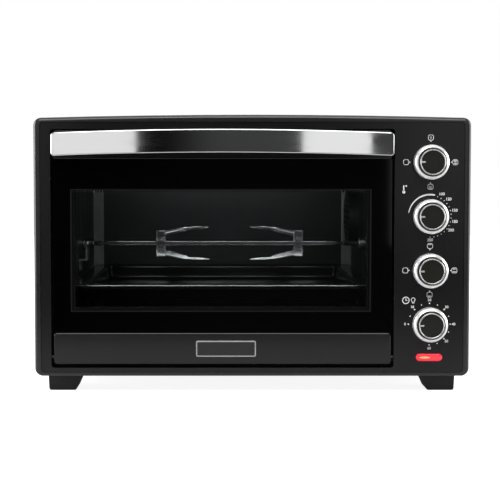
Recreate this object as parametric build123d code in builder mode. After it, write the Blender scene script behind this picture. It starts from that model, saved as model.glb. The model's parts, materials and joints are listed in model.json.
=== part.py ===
from build123d import *
import os
from math import acos, cos, degrees, radians, sin, sqrt

# Rotisserie oven. Millimetres, +Z up, the front faces -Y.
# The origin is at the middle of the floor area that the whole oven covers.

# ---------------------------------------------------------------- driving dimensions
# Body
body_width = 545.0
body_depth = 380.0
body_height = 327.5          # casing alone, up to the top of its crown
foot_height = 22.0
crown_rise = 4.0             # the roof is this much higher in the middle
corner_radius = 10.0         # outer corners, seen from the front
rim_radius = 5.0             # rounded front rim of the casing
sheet = 1.2                  # casing, base, rear cover, mouth frame
fit_gap = 0.3                # between parts that are assembled side by side
running_fit = 0.05           # radial, pins and shafts that turn

# Fascia and door recess
side_rim = 8.0               # casing rim seen each side of the fascia
fascia_setback = 0.6
fascia_thickness = 2.5
fascia_corner = 5.0
recess_wall = 2.0

# Door
panel_width = 98.0           # from the door to the casing's right side
door_left_margin = 24.0      # from the casing's left side to the door
door_lift = 15.0             # bottom edge of the door above the casing's underside
door_top_margin = 20.0       # top edge of the door below the casing's crown
door_depth = 20.0
door_side_gap = 3.0
door_bottom_gap = 4.3
door_top_gap = 2.0
door_back_gap = 3.0
door_corner = 4.0
bottom_trim_height = 40.0
top_trim_height = 35.0
trim_wall = 2.5
glass_setback = 2.5
glass_thickness = 4.0
window_margin = 28.5         # each side, in from the door's edge
window_lift = 71.0           # above the door's bottom edge
window_drop = 73.0           # below the door's top edge
window_shift = -2.0
pivot_inset = 8.0            # hinge axis, from the door's front and from its bottom edge
pin_radius = 3.0
pin_length = 22.0
check_radius = 60.0          # check arm, measured on its centre line
check_band = 8.0
check_plate = 2.0
check_inset = 3.0            # check arm, in from the door's side edge
arm_back_gap = 0.6           # upper end of the arc, behind the door's back

# Handle
handle_reach = 30.0          # from the fascia to the front of the handle
handle_overhang = 0.0        # past the door's sides
handle_height = 29.0
handle_arch = 4.0            # the middle is this much higher than the ends
handle_bow = 16.0            # the middle stands this much further out than the ends
handle_thickness = 5.0
handle_corner = 4.0
handle_drop = 31.7           # lower edge at the ends, below the door's top edge
post_inset = 41.5            # in from the handle's ends
post_width = 16.0
post_height = 14.0
post_screw_radius = 2.0

# Cavity
cavity_step = 9.0            # cavity wall inside the door's edge
cavity_lift = 42.0           # cavity floor above the casing's underside
cavity_drop = 51.0           # cavity roof below the casing's crown
cavity_rear_room = 15.8      # between the cavity and the casing's back
cavity_sheet = 1.0
cavity_bevel = 14.0          # bevelled corner strips beside the back wall
runner_width = 12.0
runner_lip = 4.0
low_runner_level = 35.0      # above the cavity floor
tray_level = 67.0            # the runner that carries the tray
top_runner_drop = 45.0       # below the cavity roof

# Tray
tray_side_gap = 4.0
tray_front_gap = 18.0        # behind the mouth frame
tray_rear_gap = 12.0
tray_basin_depth = 20.0
tray_rim = 22.0
tray_sheet = 1.0
tray_curl = 5.0
tray_corner = 12.0
basin_corner = 13.0

# Heating elements
element_radius = 3.5
element_inset = 95.0         # from the front and from the back of the cavity
element_rise = 20.0          # off the cavity floor and under its roof
element_overhang = 14.0
insulator_radius = 5.5
insulator_length = 12.0

# Spit
spit_rise = 112.0            # above the cavity floor, midway between front and back
rod_size = 6.5
waist_radius = 2.2
waist_length = 10.0
waist_inset = 30.0           # from each cavity wall
head_radius = 7.0
head_length = 18.0
head_gap = 0.8               # between the head and the left wall
groove_radius = 5.0
groove_width = 3.6
support_plate = 2.4
support_width = 26.0
support_drop = 24.0
socket_radius = 7.5
socket_length = 9.0
socket_grip = 5.0            # how far the spit reaches into the socket
socket_shaft_radius = 4.0
fork_hub_length = 14.0
fork_hub_height = 37.0
fork_hub_width = 16.0
fork_prong_length = 75.5     # hub and prongs together
fork_tip_offset = 23.0
fork_prong_width = 8.0
fork_left_inset = 115.5      # hub centre, from the left wall of the cavity
fork_right_inset = 95.5
screw_shank_radius = 2.0
screw_slack = 0.8            # each clamp screw is backed off the rod by this much
thumb_radius = 6.5
thumb_length = 7.0

# Spit motor, fan and lamp on the right-hand cavity wall
motor_radius = 25.0
motor_length = 24.0
motor_plate = 60.0
motor_plate_thickness = 3.0
fan_back_inset = 68.0        # in front of the cavity's back wall
fan_drop = 90.0              # below the cavity roof
fan_radius = 34.0
fan_guard_radius = 40.0
fan_guard_height = 14.0
fan_blade_count = 10
fan_motor_radius = 26.0
fan_motor_length = 30.0
lamp_depth = 70.0
lamp_drop = 90.0
lamp_radius = 18.0
lamp_flange = 22.0
lamp_dome = 9.0
lamp_holder_length = 26.0

# Controls
knob_count = 4
knob_first_drop = 59.1       # top knob, below the casing's crown
knob_last_lift = 65.9        # bottom knob, above the casing's underside
ring_radius = 21.6
ring_width = 4.6
ring_height = 12.0
cap_height = 16.0
cap_lip = 1.5
cap_dish = 0.8
knob_gap = 1.0
knob_bore_depth = 12.0
shaft_radius = 3.0
shaft_hole_radius = 4.5
switch_width = 42.0
switch_height = 40.0
switch_depth = 30.0
switch_bore_depth = 18.0
lens_width = 33.0
lens_height = 9.4
lens_lift = 24.0             # lens centre above the casing's underside
lens_proud = 1.6
lens_depth = 6.0
holder_depth = 16.0

# Badge plate, left plain
badge_width = 75.0
badge_height = 20.0
badge_thickness = 0.8
badge_shift = 4.4

# Base, feet, rear
lip_width = 22.0             # casing turned in under the base
base_joggle = 12.0
foot_outset = 13.5           # from the casing's side to the foot
foot_top_width = 45.0
foot_bottom_width = 35.0
foot_depth = 34.0
foot_inset = 24.0            # from the front and from the back
foot_toe_radius = 3.0
rear_flange = 14.0
gland_reach = 8.0
gland_radius = 9.0
gland_neck_radius = 6.0
gland_bore_radius = 3.8
gland_rise = 45.0
gland_side = 70.0            # from the casing's right side
block_width = 36.0
block_height = 18.0
block_depth = 16.0
block_rise = 32.0            # terminal block above the gland
screw_head_radius = 3.6
screw_head_height = 2.0
screw_length = 8.0

# Vent slots
slot_length = 32.0
slot_width = 4.0
slot_pitch = 11.0            # across the slots, on the sides and the rear cover
slot_end_gap = 16.0          # between the ends of two slots on the sides and the base
side_vent_columns = 17
side_vent_rows = 2
side_vent_inset = 126.7      # middle of the side vents, in front of the casing's back
side_vent_drop = 122.7       # and below the casing's crown
rear_vent_columns = 7
rear_vent_rows = 9
rear_vent_spread = 44.8      # from one column of slots to the next
rear_vent_drop = 103.4       # middle of the rear vents, below the casing's crown
base_vent_columns = 5
base_vent_rows = 6
base_vent_pitch = 22.0
rear_screw_inset = 30.0      # from the casing's underside and from its shoulder

# ---------------------------------------------------------------- worked-out places
half_width = body_width / 2
y_front = (handle_reach - body_depth - gland_reach) / 2
y_back = y_front + body_depth
z_base = foot_height
z_top = foot_height + body_height

fascia_width = body_width - 2 * side_rim - 2 * fit_gap
fascia_top = z_top - crown_rise - rim_radius - fit_gap
fascia_bottom = z_base + rim_radius + fit_gap
fascia_height = fascia_top - fascia_bottom
fascia_middle = (fascia_top + fascia_bottom) / 2
y_fascia = y_front + fascia_setback

door_width = body_width - door_left_margin - panel_width
door_height = body_height - door_lift - door_top_margin
door_x = -half_width + door_left_margin + door_width / 2
door_left = door_x - door_width / 2
door_right = door_x + door_width / 2
door_bottom = z_base + door_lift
door_top = door_bottom + door_height
glass_bottom = door_bottom + bottom_trim_height
glass_top = door_top - top_trim_height
y_door_back = y_front + door_depth
y_glass = y_front + glass_setback
y_glass_back = y_glass + glass_thickness
window_width = door_width - 2 * window_margin
window_height = door_height - window_lift - window_drop
window_x = door_x + window_shift
window_middle = door_bottom + window_lift + window_height / 2
handle_length = door_width + 2 * handle_overhang
post_spacing = handle_length - 2 * post_inset
pivot_y = y_front + pivot_inset
pivot_z = door_bottom + pivot_inset

aperture_width = door_width + 2 * door_side_gap
aperture_bottom = door_bottom - door_bottom_gap
aperture_top = door_top + door_top_gap
aperture_height = aperture_top - aperture_bottom
aperture_middle = (aperture_top + aperture_bottom) / 2
y_mouth = y_door_back + door_back_gap
y_cavity = y_mouth + sheet

cavity_width = door_width - 2 * cavity_step
cavity_height = body_height - cavity_lift - cavity_drop
cavity_depth = y_back - cavity_rear_room - y_cavity
cavity_left = door_x - cavity_width / 2
cavity_right = door_x + cavity_width / 2
cavity_floor_z = z_base + cavity_lift
cavity_roof_z = cavity_floor_z + cavity_height
cavity_middle = (cavity_floor_z + cavity_roof_z) / 2
cavity_back_y = y_cavity + cavity_depth
element_ys = (y_cavity + element_inset, cavity_back_y - element_inset)
element_zs = (cavity_floor_z + element_rise, cavity_roof_z - element_rise)
runner_levels = (low_runner_level, tray_level, cavity_height - top_runner_drop)
tray_length = cavity_depth - tray_front_gap - tray_rear_gap

spit_y = (y_cavity + cavity_back_y) / 2
spit_z = cavity_floor_z + spit_rise
fan_y = cavity_back_y - fan_back_inset
fan_z = cavity_roof_z - fan_drop
lamp_y = y_cavity + lamp_depth
lamp_z = cavity_roof_z - lamp_drop

panel_left = door_right + door_side_gap + recess_wall
knob_x = (panel_left + fascia_width / 2) / 2
knob_pitch = (body_height - knob_first_drop - knob_last_lift) / (knob_count - 1)
knob_zs = [z_top - knob_first_drop - knob_pitch * i for i in range(knob_count)]
lens_z = z_base + lens_lift
y_switch = y_fascia + fascia_thickness

foot_ys = (y_front + foot_inset + foot_depth / 2, y_back - foot_inset - foot_depth / 2)
foot_xs = half_width - foot_outset - foot_top_width / 2
gland_x = half_width - gland_side
gland_z = z_base + gland_rise

nodes = {}


# ---------------------------------------------------------------- shared shapes
def facing(y):
    """Plane at depth y, seen from the front. Its normal is -Y, so a negative extrude goes back."""
    return Plane.XZ.offset(-y)


def from_side(x):
    """Plane at x, seen from the right: its own x is Y and its own y is Z."""
    return Plane.YZ.offset(x)


def crowned_outline(sketch, inset):
    """Front outline of the casing with its crowned top, pulled in by inset all round."""
    half = half_width - inset
    bottom = z_base + inset
    shoulder = z_top - crown_rise - inset
    with BuildLine() as edge:
        Polyline((-half, shoulder), (-half, bottom), (half, bottom), (half, shoulder))
        ThreePointArc((half, shoulder), (0, shoulder + crown_rise), (-half, shoulder))
    make_face(edge.edges())
    fillet(sketch.vertices(), max(corner_radius - inset, rim_radius / 2))


def box_between(x0, x1, y0, y1, z0, z1, mode=Mode.ADD):
    """A block between two corners, added to the part that is being built."""
    with Locations(((x0 + x1) / 2, (y0 + y1) / 2, (z0 + z1) / 2)):
        Box(abs(x1 - x0), abs(y1 - y0), abs(z1 - z0), mode=mode)


def keep(name, part):
    """Names a finished piece and keeps it for export."""
    part.label = name
    nodes[name] = part


# ---------------------------------------------------------------- casing
with BuildPart() as casing_hollow:
    with BuildSketch(facing(y_front + sheet)) as outline:
        crowned_outline(outline, sheet)
    extrude(amount=-(body_depth - 3 * sheet))
    fillet(casing_hollow.faces().sort_by(Axis.Y)[0].edges(), rim_radius - sheet)

with BuildPart() as outer_casing:
    with BuildSketch(facing(y_front)) as outline:
        crowned_outline(outline, 0)
    extrude(amount=-body_depth)
    fillet(outer_casing.faces().sort_by(Axis.Y)[0].edges(), rim_radius)
    add(casing_hollow.part, mode=Mode.SUBTRACT)
    with BuildSketch(facing(y_front)):
        with Locations((0, fascia_middle)):
            RectangleRounded(fascia_width + 2 * fit_gap, fascia_height + 2 * fit_gap, fascia_corner)
    extrude(amount=-rim_radius, mode=Mode.SUBTRACT)
    with BuildSketch(facing(y_back - sheet)) as outline:
        crowned_outline(outline, sheet)
    extrude(amount=-sheet, mode=Mode.SUBTRACT)
    with BuildSketch(facing(y_back - 2 * sheet)) as outline:
        crowned_outline(outline, rear_flange)
    extrude(amount=-sheet, mode=Mode.SUBTRACT)
    base_edge = half_width - lip_width
    box_between(-base_edge, base_edge, y_front + side_rim, y_back - side_rim,
                z_base, z_base + sheet, Mode.SUBTRACT)
    with BuildSketch(from_side(-half_width - 1)):
        with Locations((y_back - side_vent_inset, z_top - side_vent_drop)):
            with GridLocations(slot_pitch, slot_length + slot_end_gap, side_vent_columns, side_vent_rows):
                SlotOverall(slot_length, slot_width, rotation=90)
    extrude(amount=body_width + 2, mode=Mode.SUBTRACT)
keep("outer_casing", outer_casing.part)

# ---------------------------------------------------------------- fascia with the door recess
with BuildPart() as front_frame:
    with BuildSketch(facing(y_fascia)):
        with Locations((0, fascia_middle)):
            RectangleRounded(fascia_width, fascia_height, fascia_corner)
    extrude(amount=-fascia_thickness)
    with BuildSketch(facing(y_fascia)):
        with Locations((door_x, aperture_middle)):
            RectangleRounded(aperture_width + 2 * recess_wall, aperture_height + 2 * recess_wall,
                             door_corner + recess_wall)
    extrude(amount=-(y_mouth - y_fascia))
    with BuildSketch(facing(y_fascia)):
        with Locations((door_x, aperture_middle)):
            RectangleRounded(aperture_width, aperture_height, door_corner)
    extrude(amount=-(y_mouth - y_fascia), mode=Mode.SUBTRACT)
    with BuildSketch(facing(y_fascia)):
        with Locations(*[(knob_x, z) for z in knob_zs]):
            Circle(shaft_hole_radius)
        with Locations((knob_x, lens_z)):
            SlotOverall(lens_width + 2 * fit_gap, lens_height + 2 * fit_gap)
    extrude(amount=-fascia_thickness, mode=Mode.SUBTRACT)
    with BuildSketch(from_side(panel_left)):
        with Locations((pivot_y, pivot_z)):
            Circle(pin_radius)
    extrude(amount=-(aperture_width + 3 * recess_wall), mode=Mode.SUBTRACT)
keep("front_frame", front_frame.part)

# ---------------------------------------------------------------- mouth frame behind the door
check_xs = (door_left + check_inset, door_right - check_inset)
mouth_margin = recess_wall + 6.0
slot_bottom = check_radius - check_band
slot_top = check_radius + check_band
with BuildPart() as mouth_frame:
    with BuildSketch(facing(y_mouth)):
        with Locations((door_x, aperture_middle)):
            Rectangle(aperture_width + 2 * mouth_margin,
                      aperture_height + 2 * recess_wall)
        with Locations((door_x, cavity_middle)):
            Rectangle(cavity_width, cavity_height, mode=Mode.SUBTRACT)
        with Locations(*[(x, pivot_z + check_radius - 2) for x in check_xs]):
            Rectangle(check_plate + 2, slot_top - slot_bottom, mode=Mode.SUBTRACT)
    extrude(amount=-sheet)
keep("mouth_frame", mouth_frame.part)

# ---------------------------------------------------------------- cavity panels
element_places = [(y, z) for y in element_ys for z in element_zs]


def cavity_side(x_inner, outward):
    """A cavity side wall with the holes for the element insulators."""
    with BuildPart() as wall:
        with BuildSketch(from_side(x_inner)):
            with Locations(((y_cavity + cavity_back_y) / 2, cavity_middle)):
                Rectangle(cavity_depth, cavity_height)
            with Locations(*element_places):
                Circle(insulator_radius, mode=Mode.SUBTRACT)
            if outward > 0:
                with Locations((spit_y, spit_z)):
                    Circle(socket_radius + 2, mode=Mode.SUBTRACT)
                with Locations((fan_y, fan_z)):
                    Circle(fan_radius / 2, mode=Mode.SUBTRACT)
                with Locations((lamp_y, lamp_z)):
                    Circle(lamp_radius, mode=Mode.SUBTRACT)
        extrude(amount=outward * cavity_sheet)
    return wall.part


keep("cavity_left_wall", cavity_side(cavity_left, -1))
keep("cavity_right_wall", cavity_side(cavity_right, 1))

bevel_run = cavity_bevel + cavity_sheet * (1 - sqrt(2))
with BuildPart() as cavity_back_wall:
    with BuildSketch(Plane.XY.offset(cavity_floor_z)):
        with BuildLine():
            Polyline(
                (cavity_left, cavity_back_y - cavity_bevel),
                (cavity_left + cavity_bevel, cavity_back_y),
                (cavity_right - cavity_bevel, cavity_back_y),
                (cavity_right, cavity_back_y - cavity_bevel),
                (cavity_right, cavity_back_y - cavity_bevel + cavity_sheet * sqrt(2)),
                (cavity_right - bevel_run, cavity_back_y + cavity_sheet),
                (cavity_left + bevel_run, cavity_back_y + cavity_sheet),
                (cavity_left, cavity_back_y - cavity_bevel + cavity_sheet * sqrt(2)),
                close=True,
            )
        make_face()
    extrude(amount=cavity_height)
keep("cavity_back_wall", cavity_back_wall.part)

for panel_name, panel_z, direction in (("cavity_floor", cavity_floor_z, -1), ("cavity_roof", cavity_roof_z, 1)):
    with BuildPart() as panel:
        with BuildSketch(Plane.XY.offset(panel_z)):
            with Locations((door_x, (y_cavity + cavity_back_y) / 2)):
                Rectangle(cavity_width + 2 * cavity_sheet, cavity_depth)
        extrude(amount=direction * cavity_sheet)
    keep(panel_name, panel.part)


runner_y0 = y_cavity + cavity_bevel
runner_y1 = cavity_back_y - cavity_bevel - fit_gap
with BuildPart() as shelf_runners:
    for x_wall, inward in ((cavity_left, 1), (cavity_right, -1)):
        for level in runner_levels:
            z = cavity_floor_z + level
            box_between(x_wall, x_wall + inward * runner_width, runner_y0, runner_y1, z - cavity_sheet, z)
            box_between(x_wall, x_wall + inward * cavity_sheet, runner_y0, runner_y1,
                        z - cavity_sheet - runner_lip, z)
keep("shelf_runners", shelf_runners.part)

# ---------------------------------------------------------------- heating elements
with BuildPart() as heating_elements:
    with BuildSketch(from_side(cavity_left - element_overhang)):
        with Locations(*element_places):
            Circle(element_radius)
    extrude(amount=cavity_width + 2 * element_overhang)
keep("heating_elements", heating_elements.part)

with BuildPart() as element_insulators:
    for x_start in (cavity_left - insulator_length + 3, cavity_right - 3):
        with BuildSketch(from_side(x_start)):
            with Locations(*element_places):
                Circle(insulator_radius)
                Circle(element_radius, mode=Mode.SUBTRACT)
        extrude(amount=insulator_length)
keep("element_insulators", element_insulators.part)

# ---------------------------------------------------------------- bake tray
tray_width = cavity_width - 2 * tray_side_gap
tray_front = y_cavity + tray_front_gap
tray_middle_y = tray_front + tray_length / 2
tray_top = cavity_floor_z + tray_level + tray_sheet + fit_gap
basin_width = tray_width - 2 * tray_rim
basin_length = tray_length - 2 * tray_rim
with BuildPart() as bake_tray:
    with BuildSketch(Plane.XY.offset(tray_top - tray_sheet)):
        with Locations((door_x, tray_middle_y)):
            RectangleRounded(tray_width, tray_length, tray_corner)
    extrude(amount=tray_sheet)
    with BuildSketch(Plane.XY.offset(tray_top - tray_sheet)):
        with Locations((door_x, tray_middle_y)):
            RectangleRounded(basin_width + 2 * tray_sheet, basin_length + 2 * tray_sheet,
                             basin_corner + tray_sheet)
    extrude(amount=-tray_basin_depth)
    with BuildSketch(Plane.XY.offset(tray_top)):
        with Locations((door_x, tray_middle_y)):
            RectangleRounded(basin_width, basin_length, basin_corner)
    extrude(amount=-tray_basin_depth, mode=Mode.SUBTRACT)
    with BuildSketch(Plane.XY.offset(tray_top)):
        with Locations((door_x, tray_front + tray_sheet / 2)):
            Rectangle(tray_width - 24, tray_sheet)
        with Locations((door_x, tray_front + tray_length - tray_sheet / 2)):
            Rectangle(tray_width - 24, tray_sheet)
    extrude(amount=-tray_curl)
keep("bake_tray", bake_tray.part)

# ---------------------------------------------------------------- spit and its drive
head_left = cavity_left + head_gap
head_right = head_left + head_length
socket_face = cavity_right - socket_length + cavity_sheet
tip_x = socket_face + socket_grip
left_waist = cavity_left + waist_inset
right_waist = cavity_right - waist_inset


def round_bar(x0, x1, radius):
    """A round bar on the spit's axis."""
    with BuildSketch(from_side(x0)) as section:
        with Locations((spit_y, spit_z)):
            Circle(radius)
    extrude(section.sketch, amount=x1 - x0)


def square_bar(x0, x1, size, mode=Mode.ADD):
    """A square bar on the spit's axis."""
    with BuildSketch(from_side(x0)) as section:
        with Locations((spit_y, spit_z)):
            Rectangle(size, size)
    extrude(section.sketch, amount=x1 - x0, mode=mode)


groove_x = head_left + head_length / 2
with BuildPart() as spit_rod:
    square_bar(head_right, left_waist, rod_size)
    round_bar(left_waist, left_waist + waist_length, waist_radius)
    square_bar(left_waist + waist_length, right_waist - waist_length, rod_size)
    round_bar(right_waist - waist_length, right_waist, waist_radius)
    square_bar(right_waist, tip_x, rod_size)
    chamfer(spit_rod.faces().sort_by(Axis.X)[-1].edges(), rod_size / 4)
with BuildPart() as spit_head:
    round_bar(head_left, groove_x - groove_width / 2, head_radius)
    round_bar(groove_x - groove_width / 2, groove_x + groove_width / 2, groove_radius)
    round_bar(groove_x + groove_width / 2, head_right, head_radius)
# The grooved head is turned by itself and pressed on the rod's end: two solids that touch.
keep("spit_rod", Compound(children=[spit_rod.part, spit_head.part]))

with BuildPart() as spit_drive_socket:
    round_bar(socket_face, cavity_right + cavity_sheet, socket_radius)
    round_bar(cavity_right + cavity_sheet, cavity_right + cavity_sheet + motor_length, socket_shaft_radius)
    square_bar(socket_face, tip_x + 1, rod_size + 2 * fit_gap, Mode.SUBTRACT)
keep("spit_drive_socket", spit_drive_socket.part)

support_notch = groove_radius + 0.1
with BuildPart() as spit_support:
    with BuildSketch(from_side(groove_x - support_plate / 2)):
        with Locations((spit_y, spit_z - support_drop / 2 + 2)):
            Rectangle(support_width, support_drop + 4)
        with Locations((spit_y, spit_z)):
            Circle(support_notch, mode=Mode.SUBTRACT)
        with Locations((spit_y, spit_z + support_drop / 2)):
            Rectangle(2 * support_notch, support_drop, mode=Mode.SUBTRACT)
    extrude(amount=support_plate)
    box_between(cavity_left, groove_x + support_plate / 2, spit_y - support_width / 2,
                spit_y + support_width / 2, spit_z - support_drop, spit_z - support_drop + support_plate)
    box_between(cavity_left, cavity_left + cavity_sheet, spit_y - support_width / 2,
                spit_y + support_width / 2, spit_z - support_drop - 14, spit_z - support_drop + support_plate)
keep("spit_support", spit_support.part)

with BuildPart() as spit_motor:
    plate_x = cavity_right + cavity_sheet
    with BuildSketch(from_side(plate_x)):
        with Locations((spit_y, spit_z)):
            RectangleRounded(motor_plate, motor_plate, 6)
    extrude(amount=motor_plate_thickness)
    with BuildSketch(from_side(plate_x + motor_plate_thickness)):
        with Locations((spit_y, spit_z)):
            Circle(motor_radius)
    extrude(amount=motor_length)
    with BuildSketch(from_side(plate_x)):
        with Locations((spit_y, spit_z)):
            Circle(socket_shaft_radius + running_fit)
    extrude(amount=motor_length + fit_gap, mode=Mode.SUBTRACT)
    with BuildSketch(from_side(plate_x)):
        with Locations((spit_y, spit_z)):
            Circle(socket_radius + fit_gap)
    extrude(amount=fit_gap, mode=Mode.SUBTRACT)
keep("spit_motor", spit_motor.part)


def spit_fork(hub_x, towards):
    """A clamp hub with two prongs; towards is +1 when the prongs point to +X."""
    hub_near = hub_x + towards * fork_hub_length / 2
    prong_root = fork_hub_height / 2
    hub_wall = 2.0
    with BuildPart() as fork:
        box_between(hub_x - fork_hub_length / 2, hub_x + fork_hub_length / 2,
                    spit_y - fork_hub_width / 2, spit_y + fork_hub_width / 2,
                    spit_z - prong_root, spit_z + prong_root)
        box_between(hub_x - fork_hub_length / 2 + hub_wall, hub_x + fork_hub_length / 2 - hub_wall,
                    spit_y - fork_hub_width / 2, spit_y - rod_size / 2 - hub_wall,
                    spit_z - prong_root + hub_wall, spit_z + prong_root - hub_wall, Mode.SUBTRACT)
        for up in (1, -1):
            tip_x_here = hub_near + towards * (fork_prong_length - fork_hub_length)
            bend_x = hub_near + towards * (fork_prong_length - fork_hub_length) / 2
            with BuildSketch(facing(spit_y - fork_prong_width / 2)):
                with BuildLine():
                    Polyline(
                        (hub_near, spit_z + up * prong_root),
                        (bend_x, spit_z + up * (fork_tip_offset + 1.5)),
                        (tip_x_here, spit_z + up * (fork_tip_offset + 0.6)),
                        (tip_x_here, spit_z + up * (fork_tip_offset - 0.6)),
                        (bend_x, spit_z + up * (fork_tip_offset - 4.5)),
                        (hub_near, spit_z + up * (prong_root - 8)),
                        close=True,
                    )
                make_face()
            extrude(amount=-fork_prong_width)
        square_bar(hub_x - fork_hub_length, hub_x + fork_hub_length, rod_size + 2 * fit_gap, Mode.SUBTRACT)
        with BuildSketch(facing(spit_y - fork_hub_width / 2)):
            with Locations((hub_x, spit_z)):
                Circle(screw_shank_radius + running_fit)
        extrude(amount=-fork_hub_width / 2, mode=Mode.SUBTRACT)
    return fork.part


def thumb_screw(hub_x):
    """Knurled screw that clamps a fork on the rod, from the front of its hub."""
    seat = spit_y - rod_size / 2 - screw_slack
    head_back = spit_y - fork_hub_width / 2 - fit_gap
    with BuildPart() as screw:
        with BuildSketch(facing(head_back)):
            with Locations((hub_x, spit_z)):
                Circle(screw_shank_radius)
        extrude(amount=-(seat - head_back))
        with BuildSketch(facing(head_back)):
            with Locations((hub_x, spit_z)):
                RegularPolygon(thumb_radius, 12)
        extrude(amount=thumb_length)
    return screw.part


fork_left_x = cavity_left + fork_left_inset
fork_right_x = cavity_right - fork_right_inset
keep("spit_fork_left", spit_fork(fork_left_x, 1))
keep("spit_fork_right", spit_fork(fork_right_x, -1))
keep("fork_screw_left", thumb_screw(fork_left_x))
keep("fork_screw_right", thumb_screw(fork_right_x))

# ---------------------------------------------------------------- convection fan
fan_hub_radius = 8.0
fan_blade_length = fan_radius - fan_hub_radius
guard_x = cavity_right - fan_guard_height
with BuildPart() as fan_guard:
    with BuildSketch(from_side(guard_x)):
        with Locations((fan_y, fan_z)):
            Circle(fan_guard_radius)
    extrude(amount=fan_guard_height)
    with BuildSketch(from_side(guard_x + cavity_sheet)):
        with Locations((fan_y, fan_z)):
            Circle(fan_guard_radius - cavity_sheet)
    extrude(amount=fan_guard_height, mode=Mode.SUBTRACT)
    with BuildSketch(from_side(guard_x)):
        for hole_ring, hole_count in ((9, 6), (18, 12), (27, 18), (35, 24)):
            with Locations((fan_y, fan_z)):
                with PolarLocations(hole_ring, hole_count):
                    Circle(2.6)
    extrude(amount=cavity_sheet, mode=Mode.SUBTRACT)
keep("fan_guard", fan_guard.part)

with BuildPart() as fan_wheel:
    blade_x = guard_x + cavity_sheet + 2
    with BuildSketch(from_side(blade_x)):
        with Locations((fan_y, fan_z)):
            Circle(fan_hub_radius)
            with PolarLocations(fan_hub_radius + fan_blade_length / 2 - 1, fan_blade_count):
                Rectangle(fan_blade_length, 1.6)
    extrude(amount=cavity_right - 1.5 - blade_x)
    with BuildSketch(from_side(blade_x)):
        with Locations((fan_y, fan_z)):
            Circle(2.5)
    extrude(amount=cavity_right + cavity_sheet + fan_motor_length / 2 - blade_x)
keep("fan_wheel", fan_wheel.part)

with BuildPart() as fan_motor:
    with BuildSketch(from_side(cavity_right + cavity_sheet)):
        with Locations((fan_y, fan_z)):
            Circle(fan_motor_radius)
    extrude(amount=fan_motor_length)
    with BuildSketch(from_side(cavity_right + cavity_sheet)):
        with Locations((fan_y, fan_z)):
            Circle(2.5 + running_fit)
    extrude(amount=fan_motor_length / 2 + fit_gap, mode=Mode.SUBTRACT)
keep("fan_motor", fan_motor.part)

# ---------------------------------------------------------------- oven lamp
with BuildPart() as lamp_cover:
    with BuildSketch(from_side(cavity_right - 2)):
        with Locations((lamp_y, lamp_z)):
            Circle(lamp_flange)
    extrude(amount=2)
    with BuildSketch(from_side(cavity_right - lamp_dome)):
        with Locations((lamp_y, lamp_z)):
            Circle(lamp_radius - 2)
    extrude(amount=lamp_dome - 2)
    fillet(lamp_cover.faces().sort_by(Axis.X)[0].edges(), 4)
keep("lamp_cover", lamp_cover.part)

with BuildPart() as lamp_holder:
    with BuildSketch(from_side(cavity_right)):
        with Locations((lamp_y, lamp_z)):
            Circle(lamp_radius - fit_gap)
    extrude(amount=lamp_holder_length)
    with BuildSketch(from_side(cavity_right + cavity_sheet)):
        with Locations((lamp_y, lamp_z)):
            Circle(lamp_flange)
    extrude(amount=2)
keep("lamp_holder", lamp_holder.part)

# ---------------------------------------------------------------- controls
control_names = ("function", "thermostat", "element", "timer")
switch_names = ("function_switch", "thermostat", "element_switch", "timer")
for control, switch, knob_z in zip(control_names, switch_names, knob_zs):
    ring_back = y_fascia - knob_gap
    with BuildPart() as knob_ring:
        with BuildSketch(facing(ring_back)):
            with Locations((knob_x, knob_z)):
                Circle(ring_radius)
        extrude(amount=ring_height)
        fillet(knob_ring.faces().sort_by(Axis.Y)[0].edges(), ring_width * 0.45)
        with BuildSketch(facing(ring_back)):
            with Locations((knob_x, knob_z)):
                Circle(ring_radius - ring_width)
        extrude(amount=ring_height, mode=Mode.SUBTRACT)
    keep(control + "_knob_ring", knob_ring.part)

    with BuildPart() as knob_cap:
        with BuildSketch(facing(ring_back)):
            with Locations((knob_x, knob_z)):
                Circle(ring_radius - ring_width)
        extrude(amount=cap_height)
        fillet(knob_cap.faces().sort_by(Axis.Y)[0].edges(), 1.2)
        with BuildSketch(facing(ring_back - cap_height + cap_dish)):
            with Locations((knob_x, knob_z)):
                Circle(ring_radius - ring_width - 1.2 - cap_lip)
        extrude(amount=cap_dish, mode=Mode.SUBTRACT)
        with BuildSketch(facing(ring_back)):
            with Locations((knob_x, knob_z)):
                Circle(shaft_radius)
        extrude(amount=knob_bore_depth, mode=Mode.SUBTRACT)
    keep(control + "_knob_cap", knob_cap.part)

    with BuildPart() as shaft:
        with BuildSketch(facing(y_switch + switch_bore_depth - fit_gap)):
            with Locations((knob_x, knob_z)):
                Circle(shaft_radius)
        extrude(amount=y_switch + switch_bore_depth - fit_gap - ring_back + knob_bore_depth)
    keep(control + "_shaft", shaft.part)

    with BuildPart() as switch_body:
        with BuildSketch(facing(y_switch)):
            with Locations((knob_x, knob_z)):
                RectangleRounded(switch_width, switch_height, 4)
        extrude(amount=-switch_depth)
        with BuildSketch(facing(y_switch)):
            with Locations((knob_x, knob_z)):
                Circle(shaft_radius + running_fit)
        extrude(amount=-switch_bore_depth, mode=Mode.SUBTRACT)
    keep(switch, switch_body.part)

with BuildPart() as indicator_lens:
    with BuildSketch(facing(y_fascia + lens_depth)):
        with Locations((knob_x, lens_z)):
            SlotOverall(lens_width, lens_height)
    extrude(amount=lens_depth + lens_proud)
    fillet(indicator_lens.faces().sort_by(Axis.Y)[0].edges(), lens_proud)
keep("indicator_lens", indicator_lens.part)

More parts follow.
